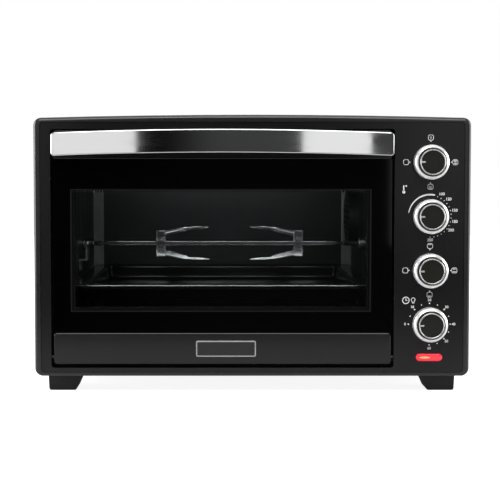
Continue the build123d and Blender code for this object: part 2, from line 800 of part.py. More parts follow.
with BuildPart() as indicator_holder:
    with BuildSketch(facing(y_fascia + fascia_thickness)):
        with Locations((knob_x, lens_z)):
            RectangleRounded(lens_width + 6, lens_height + 6, 3)
    extrude(amount=-holder_depth)
    with BuildSketch(facing(y_fascia + fascia_thickness)):
        with Locations((knob_x, lens_z)):
            SlotOverall(lens_width, lens_height)
    extrude(amount=-(lens_depth - fascia_thickness), mode=Mode.SUBTRACT)
keep("indicator_holder", indicator_holder.part)

# ---------------------------------------------------------------- door
post_xs = (door_x - post_spacing / 2, door_x + post_spacing / 2)
handle_end_z = door_top - handle_drop
post_z = handle_end_z + handle_height / 2
y_trim_back = y_door_back - sheet


def door_trim(z0, z1):
    """A moulded channel across the door, open at the back, with its front edges rounded."""
    with BuildSketch(facing(y_front)) as section:
        with Locations((door_x, (z0 + z1) / 2)):
            RectangleRounded(door_width, z1 - z0, door_corner)
    extrude(section.sketch, amount=-(door_depth - sheet))


with BuildPart() as door_bottom_trim:
    door_trim(door_bottom, glass_bottom)
    fillet(door_bottom_trim.faces().sort_by(Axis.Y)[0].edges(), trim_wall)
    with BuildSketch(facing(y_trim_back)):
        with Locations((door_x, (door_bottom + glass_bottom) / 2)):
            Rectangle(door_width - 2 * (pin_length / 2 + trim_wall), bottom_trim_height - 2 * trim_wall)
    extrude(amount=door_depth - sheet - trim_wall, mode=Mode.SUBTRACT)
    with BuildSketch(from_side(door_left)):
        with Locations((pivot_y, pivot_z)):
            Circle(pin_radius + running_fit)
    extrude(amount=door_width, mode=Mode.SUBTRACT)
keep("door_bottom_trim", door_bottom_trim.part)

with BuildPart() as door_top_trim:
    door_trim(glass_top, door_top)
    fillet(door_top_trim.faces().sort_by(Axis.Y)[0].edges(), 1.0)
    with BuildSketch(facing(y_trim_back)):
        with Locations((door_x, (glass_top + door_top) / 2)):
            Rectangle(door_width - 2 * trim_wall, top_trim_height - 2 * trim_wall)
    extrude(amount=door_depth - sheet - trim_wall, mode=Mode.SUBTRACT)
    with BuildSketch(facing(y_front)):
        with Locations(*[(x, post_z) for x in post_xs]):
            Circle(post_screw_radius)
    extrude(amount=-trim_wall, mode=Mode.SUBTRACT)
keep("door_top_trim", door_top_trim.part)

with BuildPart() as door_glass:
    with BuildSketch(facing(y_glass)):
        with Locations((door_x, (glass_bottom + glass_top) / 2)):
            Rectangle(door_width, glass_top - glass_bottom)
    extrude(amount=-glass_thickness)
keep("door_glass", door_glass.part)

frame_bottom = door_bottom + 3.0
with BuildPart() as door_frame:
    box_between(door_left, door_right, y_trim_back, y_door_back, frame_bottom, door_top)
    box_between(door_left, door_right, y_glass_back, y_door_back, glass_bottom, glass_top)
    with BuildSketch(facing(y_glass_back)):
        with Locations((door_x, (glass_bottom + glass_top) / 2)):
            Rectangle(door_width - 2 * sheet, glass_top - glass_bottom - 2 * sheet)
        with Locations((window_x, window_middle)):
            Rectangle(window_width + 2 * sheet, window_height + 2 * sheet, mode=Mode.SUBTRACT)
    extrude(amount=-(y_trim_back - y_glass_back), mode=Mode.SUBTRACT)
    with BuildSketch(facing(y_glass_back)):
        with Locations((window_x, window_middle)):
            Rectangle(window_width, window_height)
    extrude(amount=-(y_door_back - y_glass_back), mode=Mode.SUBTRACT)
keep("door_frame", door_frame.part)

with BuildPart() as badge_plate:
    with BuildSketch(facing(y_front)):
        with Locations((door_x + badge_shift, (door_bottom + glass_bottom) / 2)):
            RectangleRounded(badge_width, badge_height, 2)
    extrude(amount=badge_thickness)
keep("badge_plate", badge_plate.part)

# The handle is an arched band, bowed outwards: its front outline cut through a bowed slab.
handle_half = handle_length / 2
y_handle = y_front - handle_reach
bow_radius = (handle_half ** 2 + handle_bow ** 2) / (2 * handle_bow)


def bowed_back(x_offset):
    """How far the handle's front has fallen back, at this distance from its middle."""
    return bow_radius - sqrt(bow_radius ** 2 - x_offset ** 2)


slab_half = handle_half + post_width
slab_y = y_handle + bowed_back(slab_half)
handle_holes = bowed_back(post_spacing / 2)
screw_reach = handle_reach - handle_holes - handle_thickness / 2
with BuildPart() as door_handle:
    with BuildSketch(facing(y_front)) as band:
        with BuildLine():
            lower = ThreePointArc((door_x - handle_half, handle_end_z),
                                  (door_x, handle_end_z + handle_arch),
                                  (door_x + handle_half, handle_end_z))
            Line(lower @ 1, (door_x + handle_half, handle_end_z + handle_height))
            ThreePointArc((door_x + handle_half, handle_end_z + handle_height),
                          (door_x, handle_end_z + handle_height + handle_arch),
                          (door_x - handle_half, handle_end_z + handle_height))
            Line((door_x - handle_half, handle_end_z + handle_height), lower @ 0)
        make_face()
        fillet(band.vertices(), handle_corner)
    extrude(amount=handle_reach + 1)
    with BuildSketch(Plane.XY.offset(handle_end_z - handle_height)):
        with BuildLine():
            outer = ThreePointArc((door_x - slab_half, slab_y), (door_x, y_handle), (door_x + slab_half, slab_y))
            Line(outer @ 1, (door_x + slab_half, slab_y + handle_thickness))
            ThreePointArc((door_x + slab_half, slab_y + handle_thickness),
                          (door_x, y_handle + handle_thickness),
                          (door_x - slab_half, slab_y + handle_thickness))
            Line((door_x - slab_half, slab_y + handle_thickness), outer @ 0)
        make_face()
    extrude(amount=3 * handle_height, mode=Mode.INTERSECT)
    with BuildSketch(facing(y_front)):
        with Locations(*[(x, post_z) for x in post_xs]):
            Circle(post_screw_radius)
    extrude(amount=screw_reach, mode=Mode.SUBTRACT)
keep("door_handle", door_handle.part)

with BuildPart() as handle_posts:
    with BuildSketch(facing(y_front)):
        with Locations(*[(x, post_z) for x in post_xs]):
            RectangleRounded(post_width, post_height, 3)
            Circle(post_screw_radius, mode=Mode.SUBTRACT)
    extrude(amount=screw_reach)
    add(door_handle.part, mode=Mode.SUBTRACT)
keep("handle_posts", handle_posts.part)

with BuildPart() as handle_screws:
    with BuildSketch(facing(y_front + trim_wall)):
        with Locations(*[(x, post_z) for x in post_xs]):
            Circle(post_screw_radius)
    extrude(amount=trim_wall + screw_reach)
    with BuildSketch(facing(y_front + trim_wall)):
        with Locations(*[(x, post_z) for x in post_xs]):
            Circle(screw_head_radius)
    extrude(amount=-screw_head_height)
keep("handle_screws", handle_screws.part)

# Check arms: an arc about the hinge axis that slides in a slot of the mouth frame.
arm_top_angle = degrees(acos((y_door_back - pivot_y + arm_back_gap) / (check_radius - check_band / 2)))
arm_tail_angle = -15.0
arm_middle_angle = (arm_top_angle + arm_tail_angle) / 2


def on_arc(radius, angle):
    """A point about the hinge axis, in the plane seen from the side."""
    return pivot_y + radius * cos(radians(angle)), pivot_z + radius * sin(radians(angle))


with BuildPart() as check_arms:
    inner_radius = check_radius - check_band / 2
    outer_radius = check_radius + check_band / 2
    for arm_x in check_xs:
        with BuildSketch(from_side(arm_x - check_plate / 2)):
            with BuildLine():
                ThreePointArc(on_arc(inner_radius, arm_tail_angle), on_arc(inner_radius, arm_middle_angle),
                              on_arc(inner_radius, arm_top_angle))
                Line(on_arc(inner_radius, arm_top_angle), on_arc(outer_radius, arm_top_angle))
                ThreePointArc(on_arc(outer_radius, arm_top_angle), on_arc(outer_radius, arm_middle_angle),
                              on_arc(outer_radius, arm_tail_angle))
                Line(on_arc(outer_radius, arm_tail_angle), on_arc(inner_radius, arm_tail_angle))
            make_face()
        extrude(amount=check_plate)
        box_between(arm_x - check_plate / 2, arm_x + check_plate / 2, y_door_back, y_door_back + 2.2,
                    pivot_z + inner_radius - 4, pivot_z + outer_radius + 12)
        tab_side = 1 if arm_x < door_x else -1
        box_between(arm_x - tab_side * check_plate / 2, arm_x + tab_side * 10, y_door_back,
                    y_door_back + 1.5, pivot_z + outer_radius - 4, pivot_z + outer_radius + 12)
keep("check_arms", check_arms.part)

with BuildPart() as hinge_pins:
    for wall_x, inward in ((door_left - door_side_gap - recess_wall, 1), (panel_left, -1)):
        with BuildSketch(from_side(wall_x - inward * 1.5)):
            with Locations((pivot_y, pivot_z)):
                Circle(pin_radius)
        extrude(amount=inward * pin_length * 0.75)
        with BuildSketch(from_side(wall_x)):
            with Locations((pivot_y, pivot_z)):
                Circle(pin_radius + 1)
        extrude(amount=-inward * 1.5)
keep("hinge_pins", hinge_pins.part)

# ---------------------------------------------------------------- base plate and feet
base_y0 = y_front + side_rim + fit_gap
base_y1 = y_back - side_rim - fit_gap
base_x = half_width - lip_width - fit_gap
foot_centres = [(side * foot_xs, y) for side in (-1, 1) for y in foot_ys]
with BuildPart() as base_plate:
    box_between(-base_x, base_x, base_y0, base_y1, z_base, z_base + sheet)
    for side in (-1, 1):
        box_between(side * (base_x - 2), side * (base_x + base_joggle), base_y0, base_y1,
                    z_base + sheet, z_base + 2 * sheet)
    with BuildSketch(Plane.XY.offset(z_base)):
        with Locations(*foot_centres):
            Circle(post_screw_radius)
        with GridLocations(slot_length + slot_end_gap, base_vent_pitch, base_vent_columns, base_vent_rows):
            SlotOverall(slot_length, slot_width)
    extrude(amount=sheet, mode=Mode.SUBTRACT)
keep("base_plate", base_plate.part)

with BuildPart() as feet:
    for foot_x, foot_y in foot_centres:
        side = 1 if foot_x > 0 else -1
        outer_x = side * (half_width - foot_outset)
        with BuildSketch(facing(foot_y - foot_depth / 2)) as profile:
            with BuildLine():
                Polyline(
                    (outer_x, z_base),
                    (outer_x - side * foot_top_width, z_base),
                    (outer_x - side * foot_bottom_width, 0),
                    (outer_x - side, 0),
                    close=True,
                )
            make_face()
            fillet(profile.vertices().group_by(Axis.Y)[0], foot_toe_radius)
        extrude(amount=-foot_depth)
    with BuildSketch(Plane.XY.offset(z_base)):
        with Locations(*foot_centres):
            Circle(post_screw_radius)
    extrude(amount=-screw_length, mode=Mode.SUBTRACT)
keep("feet", feet.part)

with BuildPart() as foot_screws:
    with BuildSketch(Plane.XY.offset(z_base - screw_length)):
        with Locations(*foot_centres):
            Circle(post_screw_radius)
    extrude(amount=screw_length + sheet)
    with BuildSketch(Plane.XY.offset(z_base + sheet)):
        with Locations(*foot_centres):
            Circle(screw_head_radius)
    extrude(amount=screw_head_height)
keep("foot_screws", foot_screws.part)

# ---------------------------------------------------------------- rear cover, gland, terminal block
rear_inset = rear_flange / 2
rear_screw_x = half_width - rear_inset - sheet
rear_screw_zs = (z_base + rear_screw_inset, (z_base + z_top) / 2, z_top - crown_rise - rear_screw_inset)
rear_screw_places = [(side * rear_screw_x, z) for side in (-1, 1) for z in rear_screw_zs]
with BuildPart() as rear_cover:
    with BuildSketch(facing(y_back - sheet)) as outline:
        crowned_outline(outline, sheet + fit_gap)
    extrude(amount=-sheet)
    with BuildSketch(facing(y_back - sheet)):
        with Locations((0, z_top - rear_vent_drop)):
            with GridLocations(rear_vent_spread, slot_pitch, rear_vent_columns, rear_vent_rows):
                SlotOverall(slot_length, slot_width)
        with Locations((gland_x, gland_z)):
            Circle(gland_neck_radius)
        with Locations(*rear_screw_places):
            Circle(screw_shank_radius)
    extrude(amount=-sheet, mode=Mode.SUBTRACT)
keep("rear_cover", rear_cover.part)

with BuildPart() as rear_screws:
    with BuildSketch(facing(y_back)):
        with Locations(*rear_screw_places):
            Circle(screw_head_radius)
    extrude(amount=-screw_head_height)
    with BuildSketch(facing(y_back)):
        with Locations(*rear_screw_places):
            Circle(screw_shank_radius)
    extrude(amount=sheet)
keep("rear_screws", rear_screws.part)

with BuildPart() as cord_gland:
    with BuildSketch(facing(y_back)):
        with Locations((gland_x, gland_z)):
            Circle(gland_radius)
    extrude(amount=-gland_reach, taper=12)
    with BuildSketch(facing(y_back)):
        with Locations((gland_x, gland_z)):
            Circle(gland_neck_radius)
    extrude(amount=sheet)
    with BuildSketch(facing(y_back - sheet)):
        with Locations((gland_x, gland_z)):
            Circle(gland_radius)
    extrude(amount=2)
    with BuildSketch(facing(y_back + gland_reach)):
        with Locations((gland_x, gland_z)):
            Circle(gland_bore_radius)
    extrude(amount=gland_reach + sheet + 2, mode=Mode.SUBTRACT)
keep("cord_gland", cord_gland.part)

with BuildPart() as terminal_block:
    block_y = y_back - sheet
    block_z = gland_z + block_rise
    box_between(gland_x - block_width / 2, gland_x + block_width / 2, block_y - block_depth, block_y,
                block_z - block_height / 2, block_z + block_height / 2)
    with BuildSketch(Plane.XY.offset(block_z + block_height / 2)):
        with Locations((gland_x, block_y - block_depth / 2)):
            with GridLocations(block_width / 3, 1, 3, 1):
                Circle(block_width / 12)
    extrude(amount=-block_height / 2, mode=Mode.SUBTRACT)
keep("terminal_block", terminal_block.part)

# ---------------------------------------------------------------- export
os.makedirs("parts", exist_ok=True)
for node_name, node_part in nodes.items():
    export_step(node_part, f"parts/{node_name}.step")
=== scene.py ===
import json
import math
import bmesh
import bpy
from mathutils import Matrix, Vector


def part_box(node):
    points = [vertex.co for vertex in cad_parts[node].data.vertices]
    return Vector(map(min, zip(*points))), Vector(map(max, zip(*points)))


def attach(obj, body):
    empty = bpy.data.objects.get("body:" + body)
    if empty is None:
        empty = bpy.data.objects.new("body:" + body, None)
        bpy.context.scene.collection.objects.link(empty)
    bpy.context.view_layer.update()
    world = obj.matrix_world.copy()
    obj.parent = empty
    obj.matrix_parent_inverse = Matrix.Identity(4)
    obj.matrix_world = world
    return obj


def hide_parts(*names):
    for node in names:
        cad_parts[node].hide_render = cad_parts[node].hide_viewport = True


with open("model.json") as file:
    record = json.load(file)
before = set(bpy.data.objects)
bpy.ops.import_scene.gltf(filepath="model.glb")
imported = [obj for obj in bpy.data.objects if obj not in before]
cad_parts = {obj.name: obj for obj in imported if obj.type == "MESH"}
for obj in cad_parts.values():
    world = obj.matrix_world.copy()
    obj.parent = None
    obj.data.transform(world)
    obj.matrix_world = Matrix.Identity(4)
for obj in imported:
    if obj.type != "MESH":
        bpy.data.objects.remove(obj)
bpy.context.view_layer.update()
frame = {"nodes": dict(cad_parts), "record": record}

# ------------------------------------------------------------------ studio
# The oven stands on a pale floor in a plain white room. A soft box each side of the camera leaves a
# darker gap between them, which is what the black front mirrors. Others light it from above, from
# both sides and from behind, and two narrow ones inside the mouth show the spit.
MM = 0.001


def as_vectors(corners):
    """The two corners of a box as vectors."""
    return [Vector(corner) for corner in corners]


door_low, door_high = as_vectors(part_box("door_glass"))
door_middle_x = (door_low.x + door_high.x) / 2
y_front = as_vectors(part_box("outer_casing"))[0].y



def eased_ramp(nodes, *limits):
    """A node that eases a value: from low and from high, then to low and to high."""
    ramp = nodes.new("ShaderNodeMapRange")
    ramp.interpolation_type = "SMOOTHSTEP"
    for socket, value in zip(("From Min", "From Max", "To Min", "To Max"), limits):
        ramp.inputs[socket].default_value = value
    return ramp


camera_distance = 1.35
camera_height = 0.2844
camera_pitch = math.radians(2.6)
picture_width = 500
focal_pixels = 1085
horizon_row = 167
sensor = 36.0
lens_data = bpy.data.cameras.new("studio_camera")
lens_data.sensor_width = sensor
lens_data.lens = focal_pixels * sensor / picture_width
lens_data.shift_x = 0.055
lens_data.shift_y = -(picture_width / 2 - horizon_row - focal_pixels * math.tan(camera_pitch)) / picture_width
camera = bpy.data.objects.new("studio_camera", lens_data)
bpy.context.scene.collection.objects.link(camera)
camera.location = (door_middle_x, y_front - camera_distance, camera_height)
camera.rotation_euler = (math.pi / 2 - camera_pitch, 0, 0)
bpy.context.scene.camera = camera

bpy.context.scene.view_settings.view_transform = "Standard"

floor_glow_start, floor_glow_full = 0.28, 0.75
floor_bounce = 0.12
floor_front, floor_back, floor_half_width = -0.63, 3.0, 3.0
floor_material = bpy.data.materials.new("studio_floor")
floor_material.use_nodes = True
floor_nodes, floor_links = floor_material.node_tree.nodes, floor_material.node_tree.links
floor_shader = floor_nodes["Principled BSDF"]
floor_shader.inputs["Base Color"].default_value = (0.5, 0.5, 0.5, 1)
floor_shader.inputs["Roughness"].default_value = 0.9
floor_shader.inputs["Emission Color"].default_value = (1, 1, 1, 1)
floor_place = floor_nodes.new("ShaderNodeTexCoord")
floor_distance = floor_nodes.new("ShaderNodeVectorMath")
floor_distance.operation = "LENGTH"
floor_glow = eased_ramp(floor_nodes, floor_glow_start, floor_glow_full, 0.9, 1.0)
floor_view = floor_nodes.new("ShaderNodeLightPath")
floor_seen = floor_nodes.new("ShaderNodeMapRange")
floor_seen.inputs["To Min"].default_value = floor_bounce
floor_links.new(floor_place.outputs["Object"], floor_distance.inputs[0])
floor_links.new(floor_distance.outputs["Value"], floor_glow.inputs["Value"])
floor_links.new(floor_view.outputs["Is Camera Ray"], floor_seen.inputs["Value"])
floor_links.new(floor_glow.outputs["Result"], floor_seen.inputs["To Max"])
floor_links.new(floor_seen.outputs["Result"], floor_shader.inputs["Emission Strength"])
floor_shape = bmesh.new()
floor_corners = ((-floor_half_width, floor_front), (floor_half_width, floor_front),
                 (floor_half_width, floor_back), (-floor_half_width, floor_back))
floor_shape.faces.new([floor_shape.verts.new((x, y, 0)) for x, y in floor_corners])
floor_mesh = bpy.data.meshes.new("studio_floor")
floor_shape.to_mesh(floor_mesh)
floor_shape.free()
floor = bpy.data.objects.new("studio_floor", floor_mesh)
floor_mesh.materials.append(floor_material)
bpy.context.scene.collection.objects.link(floor)

world = bpy.data.worlds.new("studio_world")
world.use_nodes = True
bpy.context.scene.world = world
world_nodes, world_links = world.node_tree.nodes, world.node_tree.links
backdrop = world_nodes["Background"]
backdrop.inputs["Color"].default_value = (1.0, 1.0, 1.0, 1)
backdrop.inputs["Strength"].default_value = 1.0
room_light = 0.30
room = world_nodes.new("ShaderNodeBackground")
room.inputs["Color"].default_value = (0.96, 0.98, 1.0, 1)
direction = world_nodes.new("ShaderNodeTexCoord")
direction_parts = world_nodes.new("ShaderNodeSeparateXYZ")
front_shade = eased_ramp(world_nodes, -0.9, -0.3, 0.0, room_light)
world_links.new(direction.outputs["Generated"], direction_parts.inputs["Vector"])
world_links.new(direction_parts.outputs["Y"], front_shade.inputs["Value"])
front_fill = eased_ramp(world_nodes, -0.17, 0.02, 0.004, 0.055)
room_sum = world_nodes.new("ShaderNodeMath")
world_links.new(direction_parts.outputs["X"], front_fill.inputs["Value"])
world_links.new(front_fill.outputs["Result"], room_sum.inputs[0])
world_links.new(front_shade.outputs["Result"], room_sum.inputs[1])
world_links.new(room_sum.outputs["Value"], room.inputs["Strength"])
world_mix = world_nodes.new("ShaderNodeMixShader")
light_path = world_nodes.new("ShaderNodeLightPath")
world_links.new(light_path.outputs["Is Camera Ray"], world_mix.inputs["Fac"])
world_links.new(room.outputs["Background"], world_mix.inputs[1])
world_links.new(backdrop.outputs["Background"], world_mix.inputs[2])
world_links.new(world_mix.outputs["Shader"], world_nodes["World Output"].inputs["Surface"])


def soft_box(name, place, target, width, height, radiance):
    """A rectangular soft light at place, turned to face target, of an even brightness."""
    data = bpy.data.lights.new(name, "AREA")
    data.shape = "RECTANGLE"
    data.size, data.size_y = width, height
    data.energy = math.pi * width * height * radiance
    light = bpy.data.objects.new(name, data)
    light.location = place
    light.rotation_euler = (Vector(target) - Vector(place)).to_track_quat("-Z", "Y").to_euler()
    bpy.context.scene.collection.objects.link(light)


box_y = y_front - 1.9
soft_box("left_box", (-0.915, box_y, 0.9), (-0.915, 0, 0.9), 0.67, 1.7, 0.95)
soft_box("right_box", (0.70, box_y, 0.9), (0.70, 0, 0.9), 0.47, 1.7, 0.95)
soft_box("upper_box", (0.0, y_front - 0.9, 1.55), (0.0, y_front, 0.2), 1.8, 0.8, 7.0)
soft_box("left_strip", (-1.9, y_front, 0.5), (0.0, y_front, 0.2), 1.1, 1.4, 9.0)
soft_box("right_strip", (1.9, y_front, 0.5), (0.0, y_front, 0.2), 1.0, 1.4, 6.0)
soft_box("top_box", (0.0, 0.5, 2.0), (0.0, 0.1, 0.2), 1.6, 1.0, 1.5)
soft_box("rear_box", (0.4, 2.3, 1.0), (0.0, 0.2, 0.2), 1.6, 1.2, 2.5)
inside_y = as_vectors(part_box("mouth_frame"))[1].y + 12 * MM
spit_middle_z = sum(corner[2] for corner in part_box("spit_rod")) / 2
inside_target = (door_middle_x, 0.06, spit_middle_z)
soft_box("inside_upper", (door_middle_x, inside_y, spit_middle_z + 0.1), inside_target, 0.34, 0.018, 8.0)
soft_box("inside_lower", (door_middle_x, inside_y, spit_middle_z - 0.035), inside_target, 0.34, 0.006, 3.0)

# ------------------------------------------------------------------ casing
# One sheet of steel bent into a crowned wrapper with a rounded front rim, powder coated satin
# black. The slots down both sides are punched before it is bent.
home_body = {node: body for body, nodes in frame["record"]["behaviour"]["bodies"].items() for node in nodes}


def finish(name, colour, roughness, metallic=0.0, **sockets):
    """A new material with one shader, before any texture is added to it."""
    material = bpy.data.materials.new(name)
    material.use_nodes = True
    shader = material.node_tree.nodes["Principled BSDF"]
    shader.inputs["Base Color"].default_value = (*colour, 1)
    shader.inputs["Roughness"].default_value = roughness
    shader.inputs["Metallic"].default_value = metallic
    for socket, value in sockets.items():
        shader.inputs[socket.replace("_", " ")].default_value = value
    return material


def grain(material, scale, stretch=(1, 1, 1), detail=3.0, moved=(0, 0, 0)):
    """Noise on the piece's own coordinates, in cycles per metre, stretched along an axis if asked."""
    nodes, links = material.node_tree.nodes, material.node_tree.links
    coordinates = nodes.new("ShaderNodeTexCoord")
    mapping = nodes.new("ShaderNodeMapping")
    mapping.inputs["Scale"].default_value = stretch
    mapping.inputs["Location"].default_value = moved
    noise = nodes.new("ShaderNodeTexNoise")
    noise.inputs["Scale"].default_value = scale
    noise.inputs["Detail"].default_value = detail
    links.new(coordinates.outputs["Object"], mapping.inputs["Vector"])
    links.new(mapping.outputs["Vector"], noise.inputs["Vector"])
    return noise.outputs["Fac"]


def spread(material, pattern, low, high, start=0.3, stop=0.7):
    """The pattern's middle part, spread from low to high."""
    reach = material.node_tree.nodes.new("ShaderNodeMapRange")
    for socket, value in zip(("From Min", "From Max", "To Min", "To Max"), (start, stop, low, high)):
        reach.inputs[socket].default_value = value
    material.node_tree.links.new(pattern, reach.inputs["Value"])
    return reach.outputs["Result"]


def tint(material, pattern, colour_low, colour_high):
    """Colours the piece between two colours by a pattern from 0 to 1."""
    mix = material.node_tree.nodes.new("ShaderNodeMix")
    mix.data_type = "RGBA"
    mix.inputs["A"].default_value = (*colour_low, 1)
    mix.inputs["B"].default_value = (*colour_high, 1)
    material.node_tree.links.new(pattern, mix.inputs["Factor"])
    shader = material.node_tree.nodes["Principled BSDF"]
    material.node_tree.links.new(mix.outputs["Result"], shader.inputs["Base Color"])


def scuff(material, pattern, low, high):
    """Drives the roughness between two values by a pattern."""
    shader = material.node_tree.nodes["Principled BSDF"]
    material.node_tree.links.new(spread(material, pattern, low, high), shader.inputs["Roughness"])


def emboss(material, pattern, depth, strength=0.6):
    """Adds the pattern as bump of that depth in metres, on top of any bump that is there."""
    nodes, links = material.node_tree.nodes, material.node_tree.links
    shader = nodes["Principled BSDF"]
    bump = nodes.new("ShaderNodeBump")
    bump.inputs["Distance"].default_value = depth
    bump.inputs["Strength"].default_value = strength
    links.new(pattern, bump.inputs["Height"])
    if shader.inputs["Normal"].links:
        links.new(shader.inputs["Normal"].links[0].from_socket, bump.inputs["Normal"])
    links.new(bump.outputs["Normal"], shader.inputs["Normal"])


def block(size):
    """A box of a size in metres, round the origin."""
    shape = bmesh.new()
    bmesh.ops.create_cube(shape, size=1.0)
    bmesh.ops.scale(shape, vec=size, verts=shape.verts)
    return shape


def round_off(shape, edges, radius, steps):
    """Rounds edges off."""
    bmesh.ops.bevel(shape, geom=edges, offset=radius, segments=steps, profile=0.5, affect="EDGES",
                    material=-1)


def bridge(shape, rings):
    """Joins rings of equal point count with faces, one after another."""
    for lower, upper in zip(rings, rings[1:]):
        for i in range(len(lower)):
            j = (i + 1) % len(lower)
            shape.faces.new((lower[i], lower[j], upper[j], upper[i]))


def put(shape, name, material, body, replaced=(), smooth=35, closed=True):
    """Makes a finished piece of a bmesh: normals out, shaded, on its body, standing for its CAD nodes."""
    bmesh.ops.remove_doubles(shape, verts=shape.verts, dist=1e-7)
    if closed:
        bmesh.ops.recalc_face_normals(shape, faces=shape.faces)
    for face in shape.faces:
        face.smooth = True
    mesh = bpy.data.meshes.new(name)
    shape.to_mesh(mesh)
    shape.free()
    mesh.set_sharp_from_angle(angle=math.radians(smooth))
    mesh.materials.append(material)
    piece = bpy.data.objects.new(name, mesh)
    bpy.context.scene.collection.objects.link(piece)
    weights = piece.modifiers.new("even_shading", "WEIGHTED_NORMAL")
    weights.keep_sharp = True
    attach(piece, body)
    if replaced:
        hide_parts(*replaced)
    return piece


def skin(node, material, ease=0.0, steps=2, smooth=35):
    """A merged copy of a CAD part with its sharp edges eased, which stands for it."""
    shape = bmesh.new()
    shape.from_mesh(frame["nodes"][node].data)
    bmesh.ops.remove_doubles(shape, verts=shape.verts, dist=2e-6)
    if ease:
        bmesh.ops.dissolve_limit(shape, angle_limit=math.radians(0.1), verts=shape.verts, edges=shape.edges)
        sharp = [edge for edge in shape.edges
                 if edge.is_manifold and edge.calc_face_angle() > math.radians(50)]
        bmesh.ops.bevel(shape, geom=sharp, offset=ease, offset_type="OFFSET", segments=steps, profile=0.5,
                        affect="EDGES", clamp_overlap=True, material=-1)
    return put(shape, node + "_skin", material, home_body[node], (node,), smooth=smooth)


def coat_node(material, *nodes):
    """Gives CAD parts whose shape is right their material."""
    for node in nodes:
        data = frame["nodes"][node].data
        data.materials.clear()
        data.materials.append(material)


powder_coat = finish("powder_coat", (0.009, 0.009, 0.0094), 0.3, Specular_IOR_Level=0.5)
scuff(powder_coat, grain(powder_coat, 9.0), 0.26, 0.34)
tint(powder_coat, spread(powder_coat, grain(powder_coat, 40.0), 0, 1),
     (0.0075, 0.0075, 0.0079), (0.0105, 0.0105, 0.0109))
emboss(powder_coat, grain(powder_coat, 900.0, detail=1.5), 0.00008, 0.35)
skin("outer_casing", powder_coat, smooth=40)

# ------------------------------------------------------------------ base plate and rear cover
# Flat pressings in the same black steel: the base is slotted and joggled over the casing's lips,
# and the rear cover is screwed over the casing's back flange.
coat_node(powder_coat, "base_plate")
skin("rear_cover", powder_coat)

# ------------------------------------------------------------------ front frame
# The fascia, a smooth black painted pressing with the door recess drawn into it.
front_paint = finish("front_paint", (0.0036, 0.0036, 0.0038), 0.26, Specular_IOR_Level=0.34)
scuff(front_paint, grain(front_paint, 6.0), 0.23, 0.3)
emboss(front_paint, grain(front_paint, 1400.0, detail=1.0), 0.00004, 0.3)
skin("front_frame", front_paint, ease=1.3 * MM, steps=4)

# ------------------------------------------------------------------ cavity
# Spot-welded panels with a dark, easy-clean coating: it mirrors softly and shows faint rolling
# marks, with bevelled strips up both back corners.
cavity_coat = finish("cavity_coat", (0.033, 0.033, 0.034), 0.4, metallic=0.5)
scuff(cavity_coat, grain(cavity_coat, 60.0, stretch=(1, 1, 0.15)), 0.28, 0.46)
tint(cavity_coat, spread(cavity_coat, grain(cavity_coat, 8.0), 0, 1),
     (0.024, 0.024, 0.0245), (0.037, 0.037, 0.038))
emboss(cavity_coat, grain(cavity_coat, 700.0, detail=2.0), 0.00002, 0.2)
coat_node(cavity_coat, "cavity_left_wall", "cavity_right_wall", "cavity_back_wall", "cavity_floor",
          "cavity_roof", "mouth_frame")

# ------------------------------------------------------------------ corner strips
# Bare steel cover strips, spot-welded on the bevels at both back corners, each with a folded bead
# along its two long edges.
strip_steel = finish("strip_steel", (0.45, 0.45, 0.455), 0.42, metallic=0.4)
scuff(strip_steel, grain(strip_steel, 200.0, stretch=(1, 1, 0.08)), 0.32, 0.5)
tint(strip_steel, spread(strip_steel, grain(strip_steel, 30.0, stretch=(1, 1, 0.3)), 0, 1),
     (0.36, 0.36, 0.365), (0.52, 0.52, 0.525))
floor_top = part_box("cavity_floor")[1][2]
roof_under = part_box("cavity_roof")[0][2]
left_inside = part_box("cavity_left_wall")[1][0]
right_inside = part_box("cavity_right_wall")[0][0]
bevel_side = 14 * MM
strip_proud = 0.5 * MM
back_face = as_vectors(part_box("cavity_back_wall"))[1].y - 1.0 * MM
strip_section = [(0.0, 0.0), (0.0, 2.0), (0.3, 2.6), (1.0, 2.9), (1.7, 2.6), (2.0, 2.0), (2.0, 1.0)]
strip_width = bevel_side * math.sqrt(2) / MM
strip_outline = strip_section + [(strip_width - x, y) for x, y in reversed(strip_section)]
for side, corner_x in ((1, left_inside), (-1, right_inside)):
    strip = bmesh.new()
    outline = []
    for along, out in strip_outline:
        shift = (along - strip_width / 2) * MM / math.sqrt(2)
        lift = out * MM * 0.3
        middle_x = corner_x + side * (bevel_side / 2 + strip_proud)
        middle_y = back_face - bevel_side / 2 - strip_proud
        outline.append((middle_x + side * (shift + lift / math.sqrt(2)),
                        middle_y + shift - lift / math.sqrt(2)))
    rings = [[strip.verts.new((x, y, z)) for x, y in outline]
             for z in (floor_top + 1 * MM, roof_under - 1 * MM)]
    bridge(strip, rings)
    for ring in rings:
        strip.faces.new(ring)
    put(strip, "corner_strip_left" if side == 1 else "corner_strip_right", strip_steel, "root",
        smooth=40)

# ------------------------------------------------------------------ shelf runners
# Folded steel ledges, three down each side, with a lip that keeps the tray from sliding off.
runner_steel = finish("runner_steel", (0.3, 0.3, 0.31), 0.3, metallic=1.0)
scuff(runner_steel, grain(runner_steel, 300.0, stretch=(1, 0.1, 1)), 0.22, 0.42)
skin("shelf_runners", runner_steel, ease=0.25 * MM)

